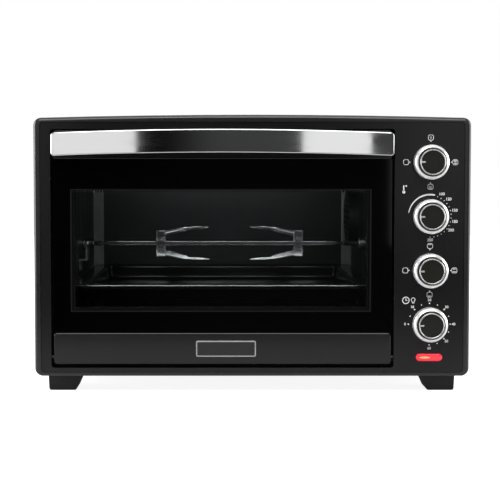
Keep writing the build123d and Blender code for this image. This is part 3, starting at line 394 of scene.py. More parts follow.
# ------------------------------------------------------------------ heating elements
# Four straight sheathed rods, blued by heat, held in the side walls by white ceramic bushes.
sheath = finish("element_sheath", (0.16, 0.14, 0.13), 0.45, metallic=0.9)
tint(sheath, spread(sheath, grain(sheath, 25.0, stretch=(1, 4, 4)), 0, 1),
     (0.09, 0.085, 0.10), (0.24, 0.19, 0.15))
scuff(sheath, grain(sheath, 400.0), 0.35, 0.6)
skin("heating_elements", sheath)
ceramic = finish("ceramic", (0.78, 0.75, 0.68), 0.6)
emboss(ceramic, grain(ceramic, 1500.0), 0.00005)
tint(ceramic, spread(ceramic, grain(ceramic, 120.0), 0, 1), (0.7, 0.66, 0.58), (0.83, 0.81, 0.76))
skin("element_insulators", ceramic, ease=0.4 * MM)
coat_node(ceramic, "lamp_holder")

# ------------------------------------------------------------------ bake tray
# A drawn tray in black enamel with a rolled wire edge that has worn bright.
enamel = finish("tray_enamel", (0.006, 0.006, 0.0065), 0.14, Specular_IOR_Level=0.35)
scuff(enamel, grain(enamel, 30.0), 0.1, 0.22)
emboss(enamel, grain(enamel, 60.0, detail=2.0), 0.00006, 0.12)
tray_low, tray_high = as_vectors(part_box("bake_tray"))


def ring_path(low, high, z, radius, steps):
    """Points round a rectangle with rounded corners, anticlockwise from above."""
    points = []
    corners = ((high.x - radius, high.y - radius, 0), (low.x + radius, high.y - radius, 1),
               (low.x + radius, low.y + radius, 2), (high.x - radius, low.y + radius, 3))
    for x, y, quarter in corners:
        for step in range(steps + 1):
            angle = (quarter + step / steps) * math.pi / 2
            points.append(Vector((x + radius * math.cos(angle), y + radius * math.sin(angle), z)))
    return points


def loops_to_shell(loops):
    """Bridges rings of equal point count one after another, and closes the last one."""
    shape = bmesh.new()
    rings = [[shape.verts.new(point) for point in loop] for loop in loops]
    for ring in rings:
        for a, b in zip(ring, ring[1:] + ring[:1]):
            shape.edges.new((a, b))
    bridge(shape, rings)
    shape.faces.new(rings[-1])
    return shape


basin_depth = tray_high.z - tray_low.z
shrink = Vector((1, 1, 0))
# from the edge inwards, in millimetres: inset, height from the rim, corner radius
tray_profile = [(0.0, -5.0, 12), (0.0, -1.2, 12), (1.2, 0.0, 12), (19.0, 0.0, 9), (21.0, -0.5, 7),
                (22.0, -2.4, 5.5), (22.6, -6.0, 5), (23.8, -16.0, 5),
                (25.5, -basin_depth / MM + 1.6, 5), (28.5, -basin_depth / MM + 1.0, 6)]
tray_loops = [ring_path(tray_low + shrink * inset * MM, tray_high - shrink * inset * MM,
                        tray_high.z + drop * MM, radius * MM, 8) for inset, drop, radius in tray_profile]
tray_shape = loops_to_shell(tray_loops)
bmesh.ops.recalc_face_normals(tray_shape, faces=tray_shape.faces)
bmesh.ops.solidify(tray_shape, geom=tray_shape.faces[:], thickness=0.9 * MM)
put(tray_shape, "tray_pan", enamel, "tray", ("bake_tray",), smooth=50)

worn_steel = finish("worn_steel", (0.62, 0.62, 0.63), 0.22, metallic=1.0)
scuff(worn_steel, grain(worn_steel, 500.0), 0.15, 0.38)


def tube_along(points, radius, closed, name, material, body, sides=10):
    """A round rod along points, made a mesh."""
    curve = bpy.data.curves.new(name, "CURVE")
    curve.dimensions = "3D"
    curve.bevel_depth = radius
    curve.bevel_resolution = max(1, sides // 4)
    curve.use_fill_caps = not closed
    spline = curve.splines.new("POLY")
    spline.points.add(len(points) - 1)
    for control, point in zip(spline.points, points):
        control.co = (*point, 1)
    spline.use_cyclic_u = closed
    holder = bpy.data.objects.new(name + "_line", curve)
    bpy.context.scene.collection.objects.link(holder)
    mesh = bpy.data.meshes.new_from_object(holder)
    bpy.data.objects.remove(holder)
    shape = bmesh.new()
    shape.from_mesh(mesh)
    bpy.data.meshes.remove(mesh)
    return put(shape, name, material, body, smooth=60)


bead = 1.3 * MM
bead_points = ring_path(tray_low + shrink * bead, tray_high - shrink * bead, tray_high.z - bead, 11 * MM, 8)
tube_along(bead_points, bead, True, "tray_rolled_edge", worn_steel, "tray")

# ------------------------------------------------------------------ spit
# A square steel rod, turned down to two waists and chamfered at its driven end, with a grooved
# bearing head that runs in the left-hand support. All of it is chromium plated.
rod_chrome = finish("rod_chrome", (0.74, 0.74, 0.75), 0.13, metallic=1.0)
scuff(rod_chrome, grain(rod_chrome, 160.0, stretch=(0.3, 1, 1)), 0.12, 0.15)
zinc = finish("zinc_plate", (0.55, 0.56, 0.58), 0.34, metallic=1.0)
scuff(zinc, grain(zinc, 250.0), 0.25, 0.5)
tint(zinc, spread(zinc, grain(zinc, 90.0), 0, 1), (0.48, 0.49, 0.5), (0.64, 0.65, 0.67))
rod_low, rod_high = as_vectors(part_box("spit_rod"))
axis_y, axis_z = (rod_low.y + rod_high.y) / 2, (rod_low.z + rod_high.z) / 2
head_radius = (rod_high.z - rod_low.z) / 2 / MM
rod_half, waist_radius, neck_radius, groove_radius = 3.25, 2.2, 3.6, 5.0
rod_corner, flange_ease = 1.2, 0.9
# the head's flanges, in millimetres from its left end: start, stop, and the half size beyond
flange_edges = ((0.0, 2.4, neck_radius), (3.4, 6.9, groove_radius), (11.0, 14.6, neck_radius),
                (15.6, 17.7, rod_half))
# where the bar changes, in the same measure: place, half size, corner radius
bar_plan = []
for start, stop, beyond in flange_edges:
    eased = head_radius - flange_ease
    bar_plan += [(start, eased, eased), (start + 0.5, head_radius, head_radius),
                 (stop - 0.5, head_radius, head_radius), (stop, eased, eased), (stop + 0.05, beyond, beyond)]
bar_plan[-1] = (18.0, rod_half, rod_corner)
bar_length = (rod_high.x - rod_low.x) / MM
for waist_start in (left_inside + 30 * MM, right_inside - 40 * MM):
    start = (waist_start - rod_low.x) / MM
    bar_plan += [(start, rod_half, rod_corner), (start + 0.5, waist_radius, waist_radius),
                 (start + 9.5, waist_radius, waist_radius), (start + 10, rod_half, rod_corner)]
bar_plan += [(bar_length - 1.7, rod_half, rod_corner), (bar_length, rod_half - 1.6, 0.5)]


def bar_loop(along, half, corner, steps=6):
    """A square with rounded corners across the spit; a corner as big as the half size makes it round."""
    loop = []
    for quarter, (sign_y, sign_z) in enumerate(((1, 1), (-1, 1), (-1, -1), (1, -1))):
        for step in range(steps + 1):
            angle = (quarter + step / steps) * math.pi / 2
            loop.append(Vector((rod_low.x + along * MM,
                                axis_y + (sign_y * (half - corner) + corner * math.cos(angle)) * MM,
                                axis_z + (sign_z * (half - corner) + corner * math.sin(angle)) * MM)))
    return loop


bar = loops_to_shell([bar_loop(*row) for row in bar_plan])
bmesh.ops.contextual_create(bar, geom=[edge for edge in bar.edges if edge.is_boundary])
put(bar, "spit_bar", rod_chrome, "spit", ("spit_rod",), smooth=30)
skin("spit_support", zinc, ease=0.2 * MM)
skin("spit_drive_socket", zinc, ease=0.5 * MM)

# ------------------------------------------------------------------ forks
# Each fork is a folded steel clamp with two prongs pressed to a channel, pinched behind the tip and
# flared to a pointed leaf. A knurled thumb screw through the clamp locks it on the rod.
fork_chrome = finish("fork_chrome", (0.86, 0.86, 0.87), 0.14, metallic=1.0)
scuff(fork_chrome, grain(fork_chrome, 180.0), 0.11, 0.17)
plate = 1.1 * MM
hub_half = 18.3 * MM
hub_deep = 7.8 * MM
hub_wide = 14.0 * MM
rod_room = 3.6 * MM
web = 5.4 * MM


def channel_strip(shape, stations):
    """One pressed prong from (middle, across, (half width, lip)) stations, its ribbed face to the front."""
    rings = []
    for (x, z), across, (half, lip) in stations:
        section = [(-half, -lip), (-half, 0.2), (-half * 0.8, 0.5), (-half * 0.62, 0.0), (-half * 0.24, 0.0),
                   (-half * 0.12, 0.6), (half * 0.12, 0.6), (half * 0.24, 0.0), (half * 0.62, 0.0),
                   (half * 0.8, 0.5), (half, 0.2), (half, -lip)]
        rings.append([shape.verts.new((x + across[0] * u * MM, axis_y - v * MM, z + across[1] * u * MM))
                      for u, v in section])
    bridge(shape, rings)
    shape.faces.new(rings[0])
    shape.faces.new(rings[-1])


for fork_name in ("spit_fork_left", "spit_fork_right"):
    low, high = as_vectors(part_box(fork_name))
    on_left = fork_name.endswith("left")
    way = 1 if on_left else -1
    root_x, tip_x = (low.x, high.x) if on_left else (high.x, low.x)
    fork_shape = bmesh.new()
    back, near = root_x + way * 0.2 * MM, root_x + way * (hub_wide - 0.2 * MM)
    # the clamp: a web before the rod and one behind it, inside a rim folded forward all round
    for (x0, y0, z0), (x1, y1, z1) in (
            ((back, -hub_deep, rod_room), (back + way * plate, hub_deep, hub_half)),
            ((back, -hub_deep, -hub_half), (back + way * plate, hub_deep, -rod_room)),
            ((near - way * plate, -hub_deep, rod_room), (near, hub_deep, hub_half - 8 * MM)),
            ((near - way * plate, -hub_deep, 8 * MM - hub_half), (near, hub_deep, -rod_room)),
            ((back, -hub_deep, hub_half - plate), (near - way * 3 * MM, hub_deep, hub_half)),
            ((back, -hub_deep, -hub_half), (near - way * 3 * MM, hub_deep, plate - hub_half)),
            ((back, -web, 8.5 * MM), (near - way * 2 * MM, plate - web, hub_half)),
            ((back, -web, -hub_half), (near - way * 2 * MM, plate - web, -8.5 * MM)),
            ((back, web - plate, -hub_half), (near - way * 2 * MM, web, hub_half))):
        wall = block((abs(x1 - x0), y1 - y0, z1 - z0))
        round_off(wall, wall.edges[:], 0.3 * MM, 2)
        bmesh.ops.translate(wall, verts=wall.verts,
                            vec=((x0 + x1) / 2, axis_y + (y0 + y1) / 2, axis_z + (z0 + z1) / 2))
        wall_mesh = bpy.data.meshes.new("wall")
        wall.to_mesh(wall_mesh)
        wall.free()
        fork_shape.from_mesh(wall_mesh)
        bpy.data.meshes.remove(wall_mesh)
    tip_out = high.z - axis_z - 0.4 * MM
    reach = abs(tip_x - root_x)
    # the prongs from root to point: place, distance from the rod's axis, half width and lip
    plan = ((3.0, 13.0, 2.6, 3.0), (9.0, 13.6, 3.2, 3.0), (16.0, 14.6, 3.5, 3.0), (26.0, 16.9, 3.4, 2.8),
            (36.0, 19.2, 3.2, 2.4), (42.0, 20.5, 3.0, 2.0), (45.0, 21.1, 1.7, 1.4), (48.0, 21.5, 1.5, 1.2),
            (51.0, 21.7, 1.9, 1.1), (56.0, 21.9, 2.3, 1.0), (61.0, 22.1, 2.0, 0.9), (67.0, 22.4, 1.4, 0.8),
            (72.0, 22.8, 0.8, 0.6), (reach / MM - 0.3, 23.0, 0.25, 0.4))
    for side in (1, -1):
        stations = []
        for i, (along, out, half, lip) in enumerate(plan):
            before, after = plan[max(0, i - 1)], plan[min(len(plan) - 1, i + 1)]
            run = Vector((after[0] - before[0], after[1] - before[1])).normalized()
            out = min(out * MM, tip_out)
            stations.append(((root_x + way * along * MM, axis_z + side * out),
                             (-run.y * way, run.x * side), (half, lip)))
        channel_strip(fork_shape, stations)
    put(fork_shape, fork_name + "_pressed", fork_chrome, home_body[fork_name], (fork_name,), smooth=32)
for screw_name in ("fork_screw_left", "fork_screw_right"):
    skin(screw_name, fork_chrome, ease=0.3 * MM)

# ------------------------------------------------------------------ spit motor, fan and lamp
# The geared motor, the fan motor and the lamp holder are fixed outside the right-hand wall. The
# fan runs behind a perforated guard, and a domed glass covers the lamp.
coat_node(zinc, "spit_motor", "fan_motor")
plain_aluminium = finish("plain_aluminium", (0.72, 0.72, 0.73), 0.32, metallic=1.0)
scuff(plain_aluminium, grain(plain_aluminium, 200.0), 0.25, 0.42)
skin("fan_wheel", plain_aluminium)
skin("fan_guard", cavity_coat, smooth=30)
lamp_glass = finish("lamp_glass", (0.92, 0.94, 0.93), 0.08, Transmission_Weight=0.7)
emboss(lamp_glass, grain(lamp_glass, 300.0), 0.0002, 0.3)
skin("lamp_cover", lamp_glass)

# ------------------------------------------------------------------ switches behind the fascia
# Moulded bodies of the four controls and the lamp holder, with the shafts that carry the knobs.
phenolic = finish("phenolic", (0.03, 0.026, 0.022), 0.55)
emboss(phenolic, grain(phenolic, 800.0), 0.00006)
coat_node(phenolic, "function_switch", "thermostat", "element_switch", "timer", "indicator_holder",
          "terminal_block")
control_names = ("function", "thermostat", "element", "timer")
coat_node(zinc, *[name + "_shaft" for name in control_names])

# ------------------------------------------------------------------ knobs
# A moulded cap in dark olive grey with a thin bright ring let into its face. A wide chrome ring is
# pressed round it, and a short pointer runs in from the thin ring.
olive = finish("knob_face", (0.0085, 0.009, 0.0065), 0.34, Specular_IOR_Level=0.3)
scuff(olive, grain(olive, 50.0), 0.3, 0.42)
emboss(olive, grain(olive, 900.0, detail=1.0), 0.00001, 0.2)
ring_chrome = finish("ring_chrome", (0.93, 0.93, 0.93), 0.2, metallic=0.55, Specular_IOR_Level=0.7)
scuff(ring_chrome, grain(ring_chrome, 90.0), 0.14, 0.26)
pale_metal = finish("knob_inlay", (0.55, 0.55, 0.53), 0.3, metallic=0.7)
scuff(pale_metal, grain(pale_metal, 600.0), 0.22, 0.38)
to_front = Matrix.Rotation(math.pi / 2, 4, "X")


def turned(profile, place, turn=to_front, closed=False, steps=72):
    """A turned shape from (radius, height) points in millimetres, stood at place along turn's Z."""
    shape = bmesh.new()
    points = [shape.verts.new((radius * MM, 0, height * MM)) for radius, height in profile]
    edges = [shape.edges.new(pair) for pair in zip(points, points[1:])]
    if closed:
        edges.append(shape.edges.new((points[-1], points[0])))
    bmesh.ops.spin(shape, geom=points + edges, cent=(0, 0, 0), axis=(0, 0, 1), angle=math.tau,
                   steps=steps, use_merge=True)
    bmesh.ops.remove_doubles(shape, verts=shape.verts, dist=1e-7)
    shape.transform(Matrix.Translation(place) @ turn)
    return shape


for name in control_names:
    ring_low, ring_high = as_vectors(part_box(name + "_knob_ring"))
    cap_low, cap_high = as_vectors(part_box(name + "_knob_cap"))
    centre = (ring_low + ring_high) / 2
    seat = Vector((centre.x, ring_high.y, centre.z))
    outer = (ring_high.x - ring_low.x) / 2 / MM
    inner = (cap_high.x - cap_low.x) / 2 / MM
    tall = (ring_high.y - ring_low.y) / MM
    proud = (cap_high.y - cap_low.y) / MM
    ring_profile = [(inner, 0), (outer - 0.6, 0), (outer, 0.6), (outer, tall - 3.4),
                    (outer - 0.25, tall - 2.5), (outer - 0.9, tall - 1.6), (outer - 2.4, tall - 0.4),
                    (inner + 1.6, tall), (inner + 0.9, tall - 0.1), (inner + 0.3, tall - 0.8),
                    (inner, tall - 2.0)]
    put(turned(ring_profile, seat, closed=True), name + "_chrome_ring", ring_chrome, name + "_knob",
        (name + "_knob_ring",), smooth=30)
    cap_profile = [(0, 0.5), (inner - 0.3, 0.5), (inner - 0.3, proud - 2.2), (inner - 0.6, proud - 1.1),
                   (inner - 1.4, proud - 0.5), (inner - 2.6, proud - 0.7), (inner - 3.0, proud - 1.4),
                   (0, proud - 1.4)]
    put(turned(cap_profile, seat), name + "_cap_moulding", olive, name + "_knob",
        (name + "_knob_cap",), smooth=30)
    rim = inner - 1.0
    inlay_profile = [(rim - 0.1, proud - 1.2), (rim - 0.1, proud - 0.35), (rim - 0.5, proud),
                     (rim - 1.1, proud), (rim - 1.5, proud - 0.35), (rim - 1.5, proud - 1.3)]
    put(turned(inlay_profile, seat, closed=True), name + "_inlay_ring", pale_metal, name + "_knob",
        smooth=40)
    pointer = block((5.6 * MM, 0.9 * MM, 2.0 * MM))
    round_off(pointer, pointer.edges[:], 0.35 * MM, 3)
    bmesh.ops.translate(pointer, vec=(centre.x - (rim - 3.9) * MM, seat.y - (proud - 1.1) * MM, centre.z),
                        verts=pointer.verts)
    put(pointer, name + "_pointer", pale_metal, name + "_knob")

# ------------------------------------------------------------------ printed dial marks
# Screen-printed in light grey on the fascia: ticks, numbers for the temperature and the minutes,
# and small outline pictures of an oven for the settings.
ink = finish("panel_ink", (0.72, 0.72, 0.71), 0.6)
scuff(ink, grain(ink, 900.0), 0.5, 0.7)
ink_height = 0.06 * MM
y_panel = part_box("front_frame")[0][1]
knob_centre = {name: sum(as_vectors(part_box(name + "_knob_ring")), Vector((0, 0, 0))) / 2
               for name in control_names}


def around(centre, radius, degrees):
    """A place on the panel at a radius in millimetres and an angle from the right, anticlockwise."""
    angle = math.radians(degrees)
    return centre.x + radius * MM * math.cos(angle), centre.z + radius * MM * math.sin(angle)


def ink_dot(shape, x, z, radius):
    """A printed dot."""
    matrix = Matrix.Translation((x, y_panel - ink_height, z)) @ Matrix.Rotation(math.pi / 2, 4, "X")
    bmesh.ops.create_circle(shape, cap_ends=True, radius=radius * MM, segments=16, matrix=matrix)


def ink_line(shape, points, width=0.42, closed=False):
    """A printed line through points on the panel, in metres, with mitred corners."""
    half = width * MM / 2
    spots = [Vector(point) for point in points]
    count = len(spots)
    left, right = [], []
    for i, spot in enumerate(spots):
        before = spots[i - 1] if (i > 0 or closed) else spot
        after = spots[(i + 1) % count] if (i < count - 1 or closed) else spot
        way_in = (spot - before).normalized() if spot != before else (after - spot).normalized()
        way_out = (after - spot).normalized() if spot != after else way_in
        across = Vector((-(way_in + way_out).normalized().y, (way_in + way_out).normalized().x))
        reach = half / max(0.5, math.sqrt((1 + way_in.dot(way_out)) / 2))
        left.append(spot + across * reach)
        right.append(spot - across * reach)
    rows = [[shape.verts.new((p.x, y_panel - ink_height, p.y)) for p in side] for side in (left, right)]
    for i in range(count if closed else count - 1):
        j = (i + 1) % count
        shape.faces.new((rows[0][i], rows[1][i], rows[1][j], rows[0][j]))


def ink_number(shape, text, x, z, size):
    """A number, centred on a place on the panel."""
    data = bpy.data.curves.new("number", "FONT")
    data.body = text
    data.size = size * MM
    data.align_x, data.align_y = "CENTER", "CENTER"
    data.offset = 0.12 * MM
    holder = bpy.data.objects.new("number", data)
    bpy.context.scene.collection.objects.link(holder)
    mesh = bpy.data.meshes.new_from_object(holder)
    bpy.data.objects.remove(holder)
    mesh.transform(Matrix.Translation((x, y_panel - ink_height, z)) @ to_front)
    shape.from_mesh(mesh)
    bpy.data.meshes.remove(mesh)


def oven_outline(shape, x, z, size):
    """A small rounded box in outline."""
    half, cut = size * MM / 2, size * MM * 0.2
    corners = [(half - cut, half), (-half + cut, half), (-half, half - cut), (-half, -half + cut),
               (-half + cut, -half), (half - cut, -half), (half, -half + cut), (half, half - cut)]
    ink_line(shape, [(x + dx, z + dz) for dx, dz in corners], width=0.6, closed=True)


def zigzag(shape, x, z, width):
    """A heating element's wave."""
    step = width * MM / 6
    ink_line(shape, [(x + (i - 3) * step, z + (0.4 if i % 2 else -0.4) * MM) for i in range(7)], width=0.6)


def setting_picture(shape, x, z, size, top, bottom, fan):
    """An oven picture with its upper wave, lower wave or fan."""
    oven_outline(shape, x, z, size)
    if top:
        zigzag(shape, x, z + size * 0.27 * MM, size * 0.6)
    if bottom:
        zigzag(shape, x, z - size * 0.27 * MM, size * 0.6)
    if fan:
        for degrees in (30, 150, 270):
            angle = math.radians(degrees)
            ink_dot(shape, x + 0.95 * MM * math.cos(angle), z + 0.95 * MM * math.sin(angle), 0.55)


icon_radius, icon_size, tick_radius = 30.6, 6.4, 26.1
# each setting's angle, then whether its picture has the upper wave, the lower wave and the fan
icon_settings = {
    "function": ((90, False, False, True), (0, True, True, True),
                 (270, False, True, True), (180, False, False, False)),
    "element": ((90, True, False, False), (0, True, True, False),
                (270, False, True, False), (180, False, False, False)),
}
for name, settings in icon_settings.items():
    marks = bmesh.new()
    for degrees, top, bottom, fan in settings:
        x, z = around(knob_centre[name], icon_radius, degrees)
        setting_picture(marks, x, z, icon_size, top, bottom, fan)
        ink_dot(marks, *around(knob_centre[name], tick_radius, degrees), 0.75)
    put(marks, name + "_dial_marks", ink, "root", closed=False)

dial_numbers = (("100", 63), ("120", 43.5), ("150", 14), ("180", -12), ("200", -33.5), ("250", -90))
dial_step = 160 / 15
number_size = 4.9
marks = bmesh.new()
dial = knob_centre["thermostat"]
for i in range(16):
    ink_dot(marks, *around(dial, tick_radius, 70 - dial_step * i), 0.62)
for text, degrees in dial_numbers:
    ink_number(marks, text, *around(dial, 29.6 if degrees == -90 else 31.2, degrees), number_size)
wedge_steps = 24
wedge_outer, wedge_inner = [], []
for step in range(wedge_steps + 1):
    share = step / wedge_steps
    degrees = 171 - 93 * share
    width = 0.5 + 1.7 * math.sqrt(share)
    wedge_outer.append(around(dial, 27.2 + width / 2, degrees))
    wedge_inner.append(around(dial, 27.2 - width / 2, degrees))
for i in range(wedge_steps):
    corners = (wedge_outer[i], wedge_outer[i + 1], wedge_inner[i + 1], wedge_inner[i])
    marks.faces.new([marks.verts.new((x, y_panel - ink_height, z)) for x, z in corners])
stem_x, stem_z = dial.x - 33.2 * MM, dial.z + 34.2 * MM
ink_dot(marks, stem_x, stem_z - 3.8 * MM, 2.0)
ink_line(marks, [(stem_x, stem_z - 3 * MM), (stem_x, stem_z + 4.4 * MM)], width=1.6)
ink_dot(marks, stem_x + 3.0 * MM, stem_z + 3.6 * MM, 1.1)
put(marks, "thermostat_dial_marks", ink, "root", closed=False)

marks = bmesh.new()
dial = knob_centre["timer"]
for i in range(7):
    degrees = 180 - 45 * i
    ink_number(marks, str(10 * i), *around(dial, 30.4, degrees), 4.5)
    ink_dot(marks, *around(dial, tick_radius, degrees), 0.95)
    if i < 6:
        ink_dot(marks, *around(dial, tick_radius, degrees - 22.5), 0.75)
clock_x, clock_z = dial.x - 29.6 * MM, dial.z + 29.9 * MM
ink_line(marks, [(clock_x + 4.1 * MM * math.cos(a * math.tau / 24),
                  clock_z + 4.1 * MM * math.sin(a * math.tau / 24)) for a in range(24)],
         width=1.1, closed=True)
ink_line(marks, [(clock_x, clock_z + 2.6 * MM), (clock_x, clock_z), (clock_x + 2.0 * MM, clock_z)], width=0.9)
bulb_x, bulb_z = clock_x + 9.1 * MM, clock_z + 0.8 * MM
ink_line(marks, [(bulb_x + 2.4 * MM * math.cos(math.radians(a)),
                  bulb_z + 2.4 * MM * math.sin(math.radians(a))) for a in range(-60, 241, 20)], width=0.85)
ink_line(marks, [(bulb_x + 1.2 * MM, bulb_z - 2.1 * MM), (bulb_x + 1.0 * MM, bulb_z - 4.0 * MM),
                 (bulb_x - 1.0 * MM, bulb_z - 4.0 * MM), (bulb_x - 1.2 * MM, bulb_z - 2.1 * MM)], width=0.8)
put(marks, "timer_dial_marks", ink, "root", closed=False)

# ------------------------------------------------------------------ indicator lamp
# A long red lens with a small neon behind its left half, so that end glows paler.
lens_red = finish("lens_red", (0.55, 0.01, 0.03), 0.12, Coat_Weight=0.6, Coat_Roughness=0.05,
                  Emission_Color=(0.72, 0.009, 0.025, 1), Emission_Strength=0.62)
scuff(lens_red, grain(lens_red, 90.0), 0.08, 0.18)
lens_low, lens_high = as_vectors(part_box("indicator_lens"))
lens_shape = block(lens_high - lens_low)
bmesh.ops.translate(lens_shape, vec=(lens_low + lens_high) / 2, verts=lens_shape.verts)
lens_sides = [edge for edge in lens_shape.edges if abs(edge.verts[0].co.y - edge.verts[1].co.y) > 1 * MM]
round_off(lens_shape, lens_sides, (lens_high.z - lens_low.z) * 0.49, 8)
lens_rim = [edge for edge in lens_shape.edges
            if all(abs(vert.co.y - lens_low.y) < 1e-5 for vert in edge.verts) and len(edge.link_faces) == 2]
round_off(lens_shape, lens_rim, 1.4 * MM, 4)
put(lens_shape, "lens_moulding", lens_red, "root", ("indicator_lens",), smooth=50)
glow = finish("lens_glow", (0.9, 0.25, 0.1), 0.3, Emission_Color=(1.0, 0.25, 0.1, 1), Emission_Strength=1.1)
scuff(glow, grain(glow, 300.0), 0.2, 0.4)
glow_shape = bmesh.new()
bmesh.ops.create_uvsphere(glow_shape, u_segments=24, v_segments=12, radius=1.0)
bmesh.ops.scale(glow_shape, vec=(7.0 * MM, 0.5 * MM, 1.3 * MM), verts=glow_shape.verts)
bmesh.ops.translate(glow_shape, verts=glow_shape.verts,
                    vec=(lens_low.x + 11 * MM, lens_low.y + 0.15 * MM, (lens_low.z + lens_high.z) / 2))
put(glow_shape, "lens_hot_spot", glow, "root")

# ------------------------------------------------------------------ door trims
# Two moulded channels in satin black clamp the glass, one along the top and a deeper one along the
# bottom with a rounded upper edge. The bottom one carries the hinge pins.
trim_black = finish("trim_black", (0.003, 0.003, 0.0032), 0.17, Specular_IOR_Level=0.4)
scuff(trim_black, grain(trim_black, 12.0), 0.15, 0.2)
emboss(trim_black, grain(trim_black, 1800.0, detail=1.0), 0.00003, 0.35)
skin("door_bottom_trim", trim_black, ease=1.7 * MM, steps=5)
skin("door_top_trim", trim_black, ease=0.8 * MM, steps=3)
# The hinge pins take the trim's black as painted shade, so their ends read dark in the gap beside the door.
coat_node(trim_black, "hinge_pins")

# ------------------------------------------------------------------ door glass
# Tempered glass with a black border fired on its back. The border breaks up into fine dots round
# the clear window.
pane = bpy.data.materials.new("door_glass")
pane.use_nodes = True
nodes, links = pane.node_tree.nodes, pane.node_tree.links
border = nodes["Principled BSDF"]
border.inputs["Base Color"].default_value = (0.0006, 0.0006, 0.0006, 1)
border.inputs["Roughness"].default_value = 0.05
border.inputs["IOR"].default_value = 1.3
window_half = (0.1830, 0.0720)
window_centre = (door_middle_x - 2 * MM, door_low.z + 103 * MM)
dot_band = 5.0 * MM
coordinates = nodes.new("ShaderNodeTexCoord")
split = nodes.new("ShaderNodeSeparateXYZ")
links.new(coordinates.outputs["Object"], split.inputs["Vector"])


def arithmetic(operation, a, b=0.0, c=0.0):
    """One step of arithmetic in the glass material; each value is a socket or a number."""
    step = nodes.new("ShaderNodeMath")
    step.operation = operation
    for socket, value in zip(step.inputs, (a, b, c)):
        if isinstance(value, float):
            socket.default_value = value
        else:
            links.new(value, socket)
    return step.outputs["Value"]


from_middle_x = arithmetic("ABSOLUTE", arithmetic("SUBTRACT", split.outputs["X"], window_centre[0]))
from_middle_z = arithmetic("ABSOLUTE", arithmetic("SUBTRACT", split.outputs["Z"], window_centre[1]))
edge_x = arithmetic("SUBTRACT", from_middle_x, window_half[0])
edge_z = arithmetic("SUBTRACT", from_middle_z, window_half[1])
outside = arithmetic("MAXIMUM", edge_x, edge_z)
dot_pitch = 3.4 * MM
wave_x = arithmetic("COSINE", arithmetic("MULTIPLY", split.outputs["X"], math.tau / dot_pitch))
wave_z = arithmetic("COSINE", arithmetic("MULTIPLY", split.outputs["Z"], math.tau / dot_pitch))
dot_wave = arithmetic("MULTIPLY_ADD", arithmetic("ADD", wave_x, wave_z), 0.25, 0.5)
share_out = arithmetic("DIVIDE", outside, dot_band)
solid_print = arithmetic("GREATER_THAN", outside, dot_band)
half_tone = arithmetic("MULTIPLY", arithmetic("GREATER_THAN", outside, 0.0),
                       arithmetic("LESS_THAN", arithmetic("MULTIPLY", dot_wave, 0.9), share_out))
printed = arithmetic("MAXIMUM", solid_print, half_tone)
dot_shade = nodes.new("ShaderNodeMix")
dot_shade.data_type = "RGBA"
dot_shade.inputs["A"].default_value = (0.011, 0.011, 0.011, 1)
dot_shade.inputs["B"].default_value = (0.0006, 0.0006, 0.0006, 1)
links.new(solid_print, dot_shade.inputs["Factor"])
links.new(dot_shade.outputs["Result"], border.inputs["Base Color"])
clear = nodes.new("ShaderNodeBsdfTransparent")
clear.inputs["Color"].default_value = (0.80, 0.82, 0.82, 1)
mirror = nodes.new("ShaderNodeBsdfGlossy")
mirror.inputs["Roughness"].default_value = 0.03
mirror.inputs["Color"].default_value = (1, 1, 1, 1)
fresnel = nodes.new("ShaderNodeFresnel")
fresnel.inputs["IOR"].default_value = 1.3
window_mix = nodes.new("ShaderNodeMixShader")
links.new(fresnel.outputs["Fac"], window_mix.inputs["Fac"])
links.new(clear.outputs["BSDF"], window_mix.inputs[1])
links.new(mirror.outputs["BSDF"], window_mix.inputs[2])
glass_mix = nodes.new("ShaderNodeMixShader")
links.new(printed, glass_mix.inputs["Fac"])
links.new(window_mix.outputs["Shader"], glass_mix.inputs[1])
links.new(border.outputs["BSDF"], glass_mix.inputs[2])
links.new(glass_mix.outputs["Shader"], nodes["Material Output"].inputs["Surface"])
coat_node(pane, "door_glass")

# ------------------------------------------------------------------ door frame and check arms
# A pressed black steel frame holds the glass from behind. Two curved arms on it slide through
# slots beside the cavity and hold the door part open.
door_paint = finish("door_paint", (0.02, 0.02, 0.021), 0.45)
scuff(door_paint, grain(door_paint, 30.0), 0.38, 0.55)
emboss(door_paint, grain(door_paint, 900.0), 0.00005, 0.3)
skin("door_frame", door_paint, ease=0.3 * MM)
skin("check_arms", zinc, ease=0.2 * MM)

# ------------------------------------------------------------------ handle
# A flat band of stainless steel, arched and bowed outwards, with its edges bevelled all round. It
# stands on two black posts and is screwed on from inside the door.
steel = finish("handle_steel", (0.76, 0.76, 0.765), 0.07, metallic=1.0)
scuff(steel, grain(steel, 40.0, stretch=(0.06, 1, 1.6), detail=2.0), 0.05, 0.1)
emboss(steel, grain(steel, 500.0, stretch=(0.01, 1, 1), detail=1.0), 0.000004, 0.1)
handle_low, handle_high = as_vectors(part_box("door_handle"))
handle_length = handle_high.x - handle_low.x
handle_arch = 4 * MM
handle_bow = 16 * MM
handle_thickness = 5 * MM
handle_height = handle_high.z - handle_low.z - handle_arch
band = block((handle_length, handle_thickness, handle_height))
corner_edges = [edge for edge in band.edges if abs(edge.verts[0].co.y - edge.verts[1].co.y) > 1 * MM]
round_off(band, corner_edges, 4 * MM, 6)
rim_edges = [edge for edge in band.edges
             if abs(edge.verts[0].co.y - edge.verts[1].co.y) < 1e-6
             and abs(edge.verts[0].co.y) > handle_thickness * 0.4]
round_off(band, rim_edges, 1.5 * MM, 4)
slices = 96
for i in range(1, slices):
    cut_x = -handle_length / 2 + handle_length * i / slices
    bmesh.ops.bisect_plane(band, geom=band.verts[:] + band.edges[:] + band.faces[:], plane_co=(cut_x, 0, 0),
                           plane_no=(1, 0, 0))
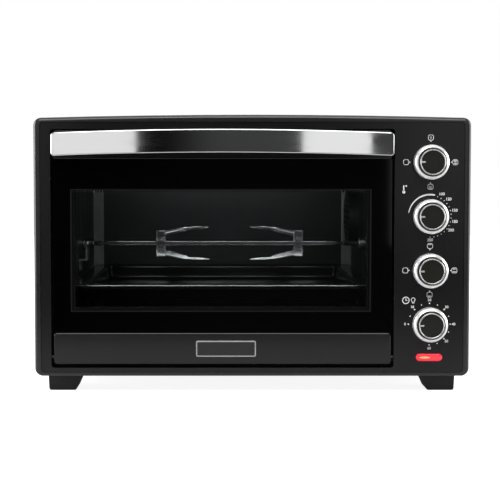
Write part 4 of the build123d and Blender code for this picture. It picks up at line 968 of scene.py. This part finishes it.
for vert in band.verts:
    share = (vert.co.x / (handle_length / 2)) ** 2
    vert.co.y += handle_low.y + handle_thickness / 2 + handle_bow * share
    vert.co.z += handle_low.z + handle_height / 2 + handle_arch * (1 - share)
    vert.co.x += (handle_low.x + handle_high.x) / 2
put(band, "handle_band", steel, "door", ("door_handle",), smooth=32)
skin("handle_posts", trim_black, ease=0.3 * MM)
coat_node(zinc, "handle_screws")

# ------------------------------------------------------------------ badge plate
# A plain brushed plate with a dark field and no mark, stuck on the bottom trim.
badge_low, badge_high = as_vectors(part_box("badge_plate"))
badge_metal = finish("badge_metal", (0.55, 0.55, 0.56), 0.3, metallic=1.0)
scuff(badge_metal, grain(badge_metal, 500.0, stretch=(0.1, 1, 1)), 0.22, 0.4)
skin("badge_plate", badge_metal, ease=0.25 * MM)
badge_frame = 1.5 * MM
badge_field = finish("badge_field", (0.035, 0.035, 0.037), 0.35, metallic=0.6)
scuff(badge_field, grain(badge_field, 400.0, stretch=(0.1, 1, 1)), 0.28, 0.45)
field = block((badge_high.x - badge_low.x - 2 * badge_frame, 0.3 * MM,
               badge_high.z - badge_low.z - 2 * badge_frame))
field_corners = [edge for edge in field.edges if abs(edge.verts[0].co.y - edge.verts[1].co.y) > 1e-4]
round_off(field, field_corners, 1.0 * MM, 4)
bmesh.ops.translate(field, verts=field.verts,
                    vec=((badge_low.x + badge_high.x) / 2, badge_low.y, (badge_low.z + badge_high.z) / 2))
put(field, "badge_field", badge_field, "door")

# ------------------------------------------------------------------ feet
# Four moulded feet in dark grey plastic, screwed up into the base plate, with a fine moulded grain.
foot_plastic = finish("foot_plastic", (0.016, 0.016, 0.017), 0.5, Specular_IOR_Level=0.3)
scuff(foot_plastic, grain(foot_plastic, 60.0), 0.48, 0.65)
emboss(foot_plastic, grain(foot_plastic, 1600.0, detail=1.0), 0.00006, 0.5)
skin("feet", foot_plastic, ease=1.2 * MM, steps=3)
coat_node(zinc, "foot_screws")

# ------------------------------------------------------------------ rear screws and cord gland
# Pan-head screws fix the rear cover, and a rubber gland lines the hole for the mains lead.
skin("rear_screws", zinc, ease=0.4 * MM)
gland_rubber = finish("gland_rubber", (0.02, 0.02, 0.02), 0.7)
emboss(gland_rubber, grain(gland_rubber, 700.0), 0.0001)
skin("cord_gland", gland_rubber, ease=0.4 * MM)
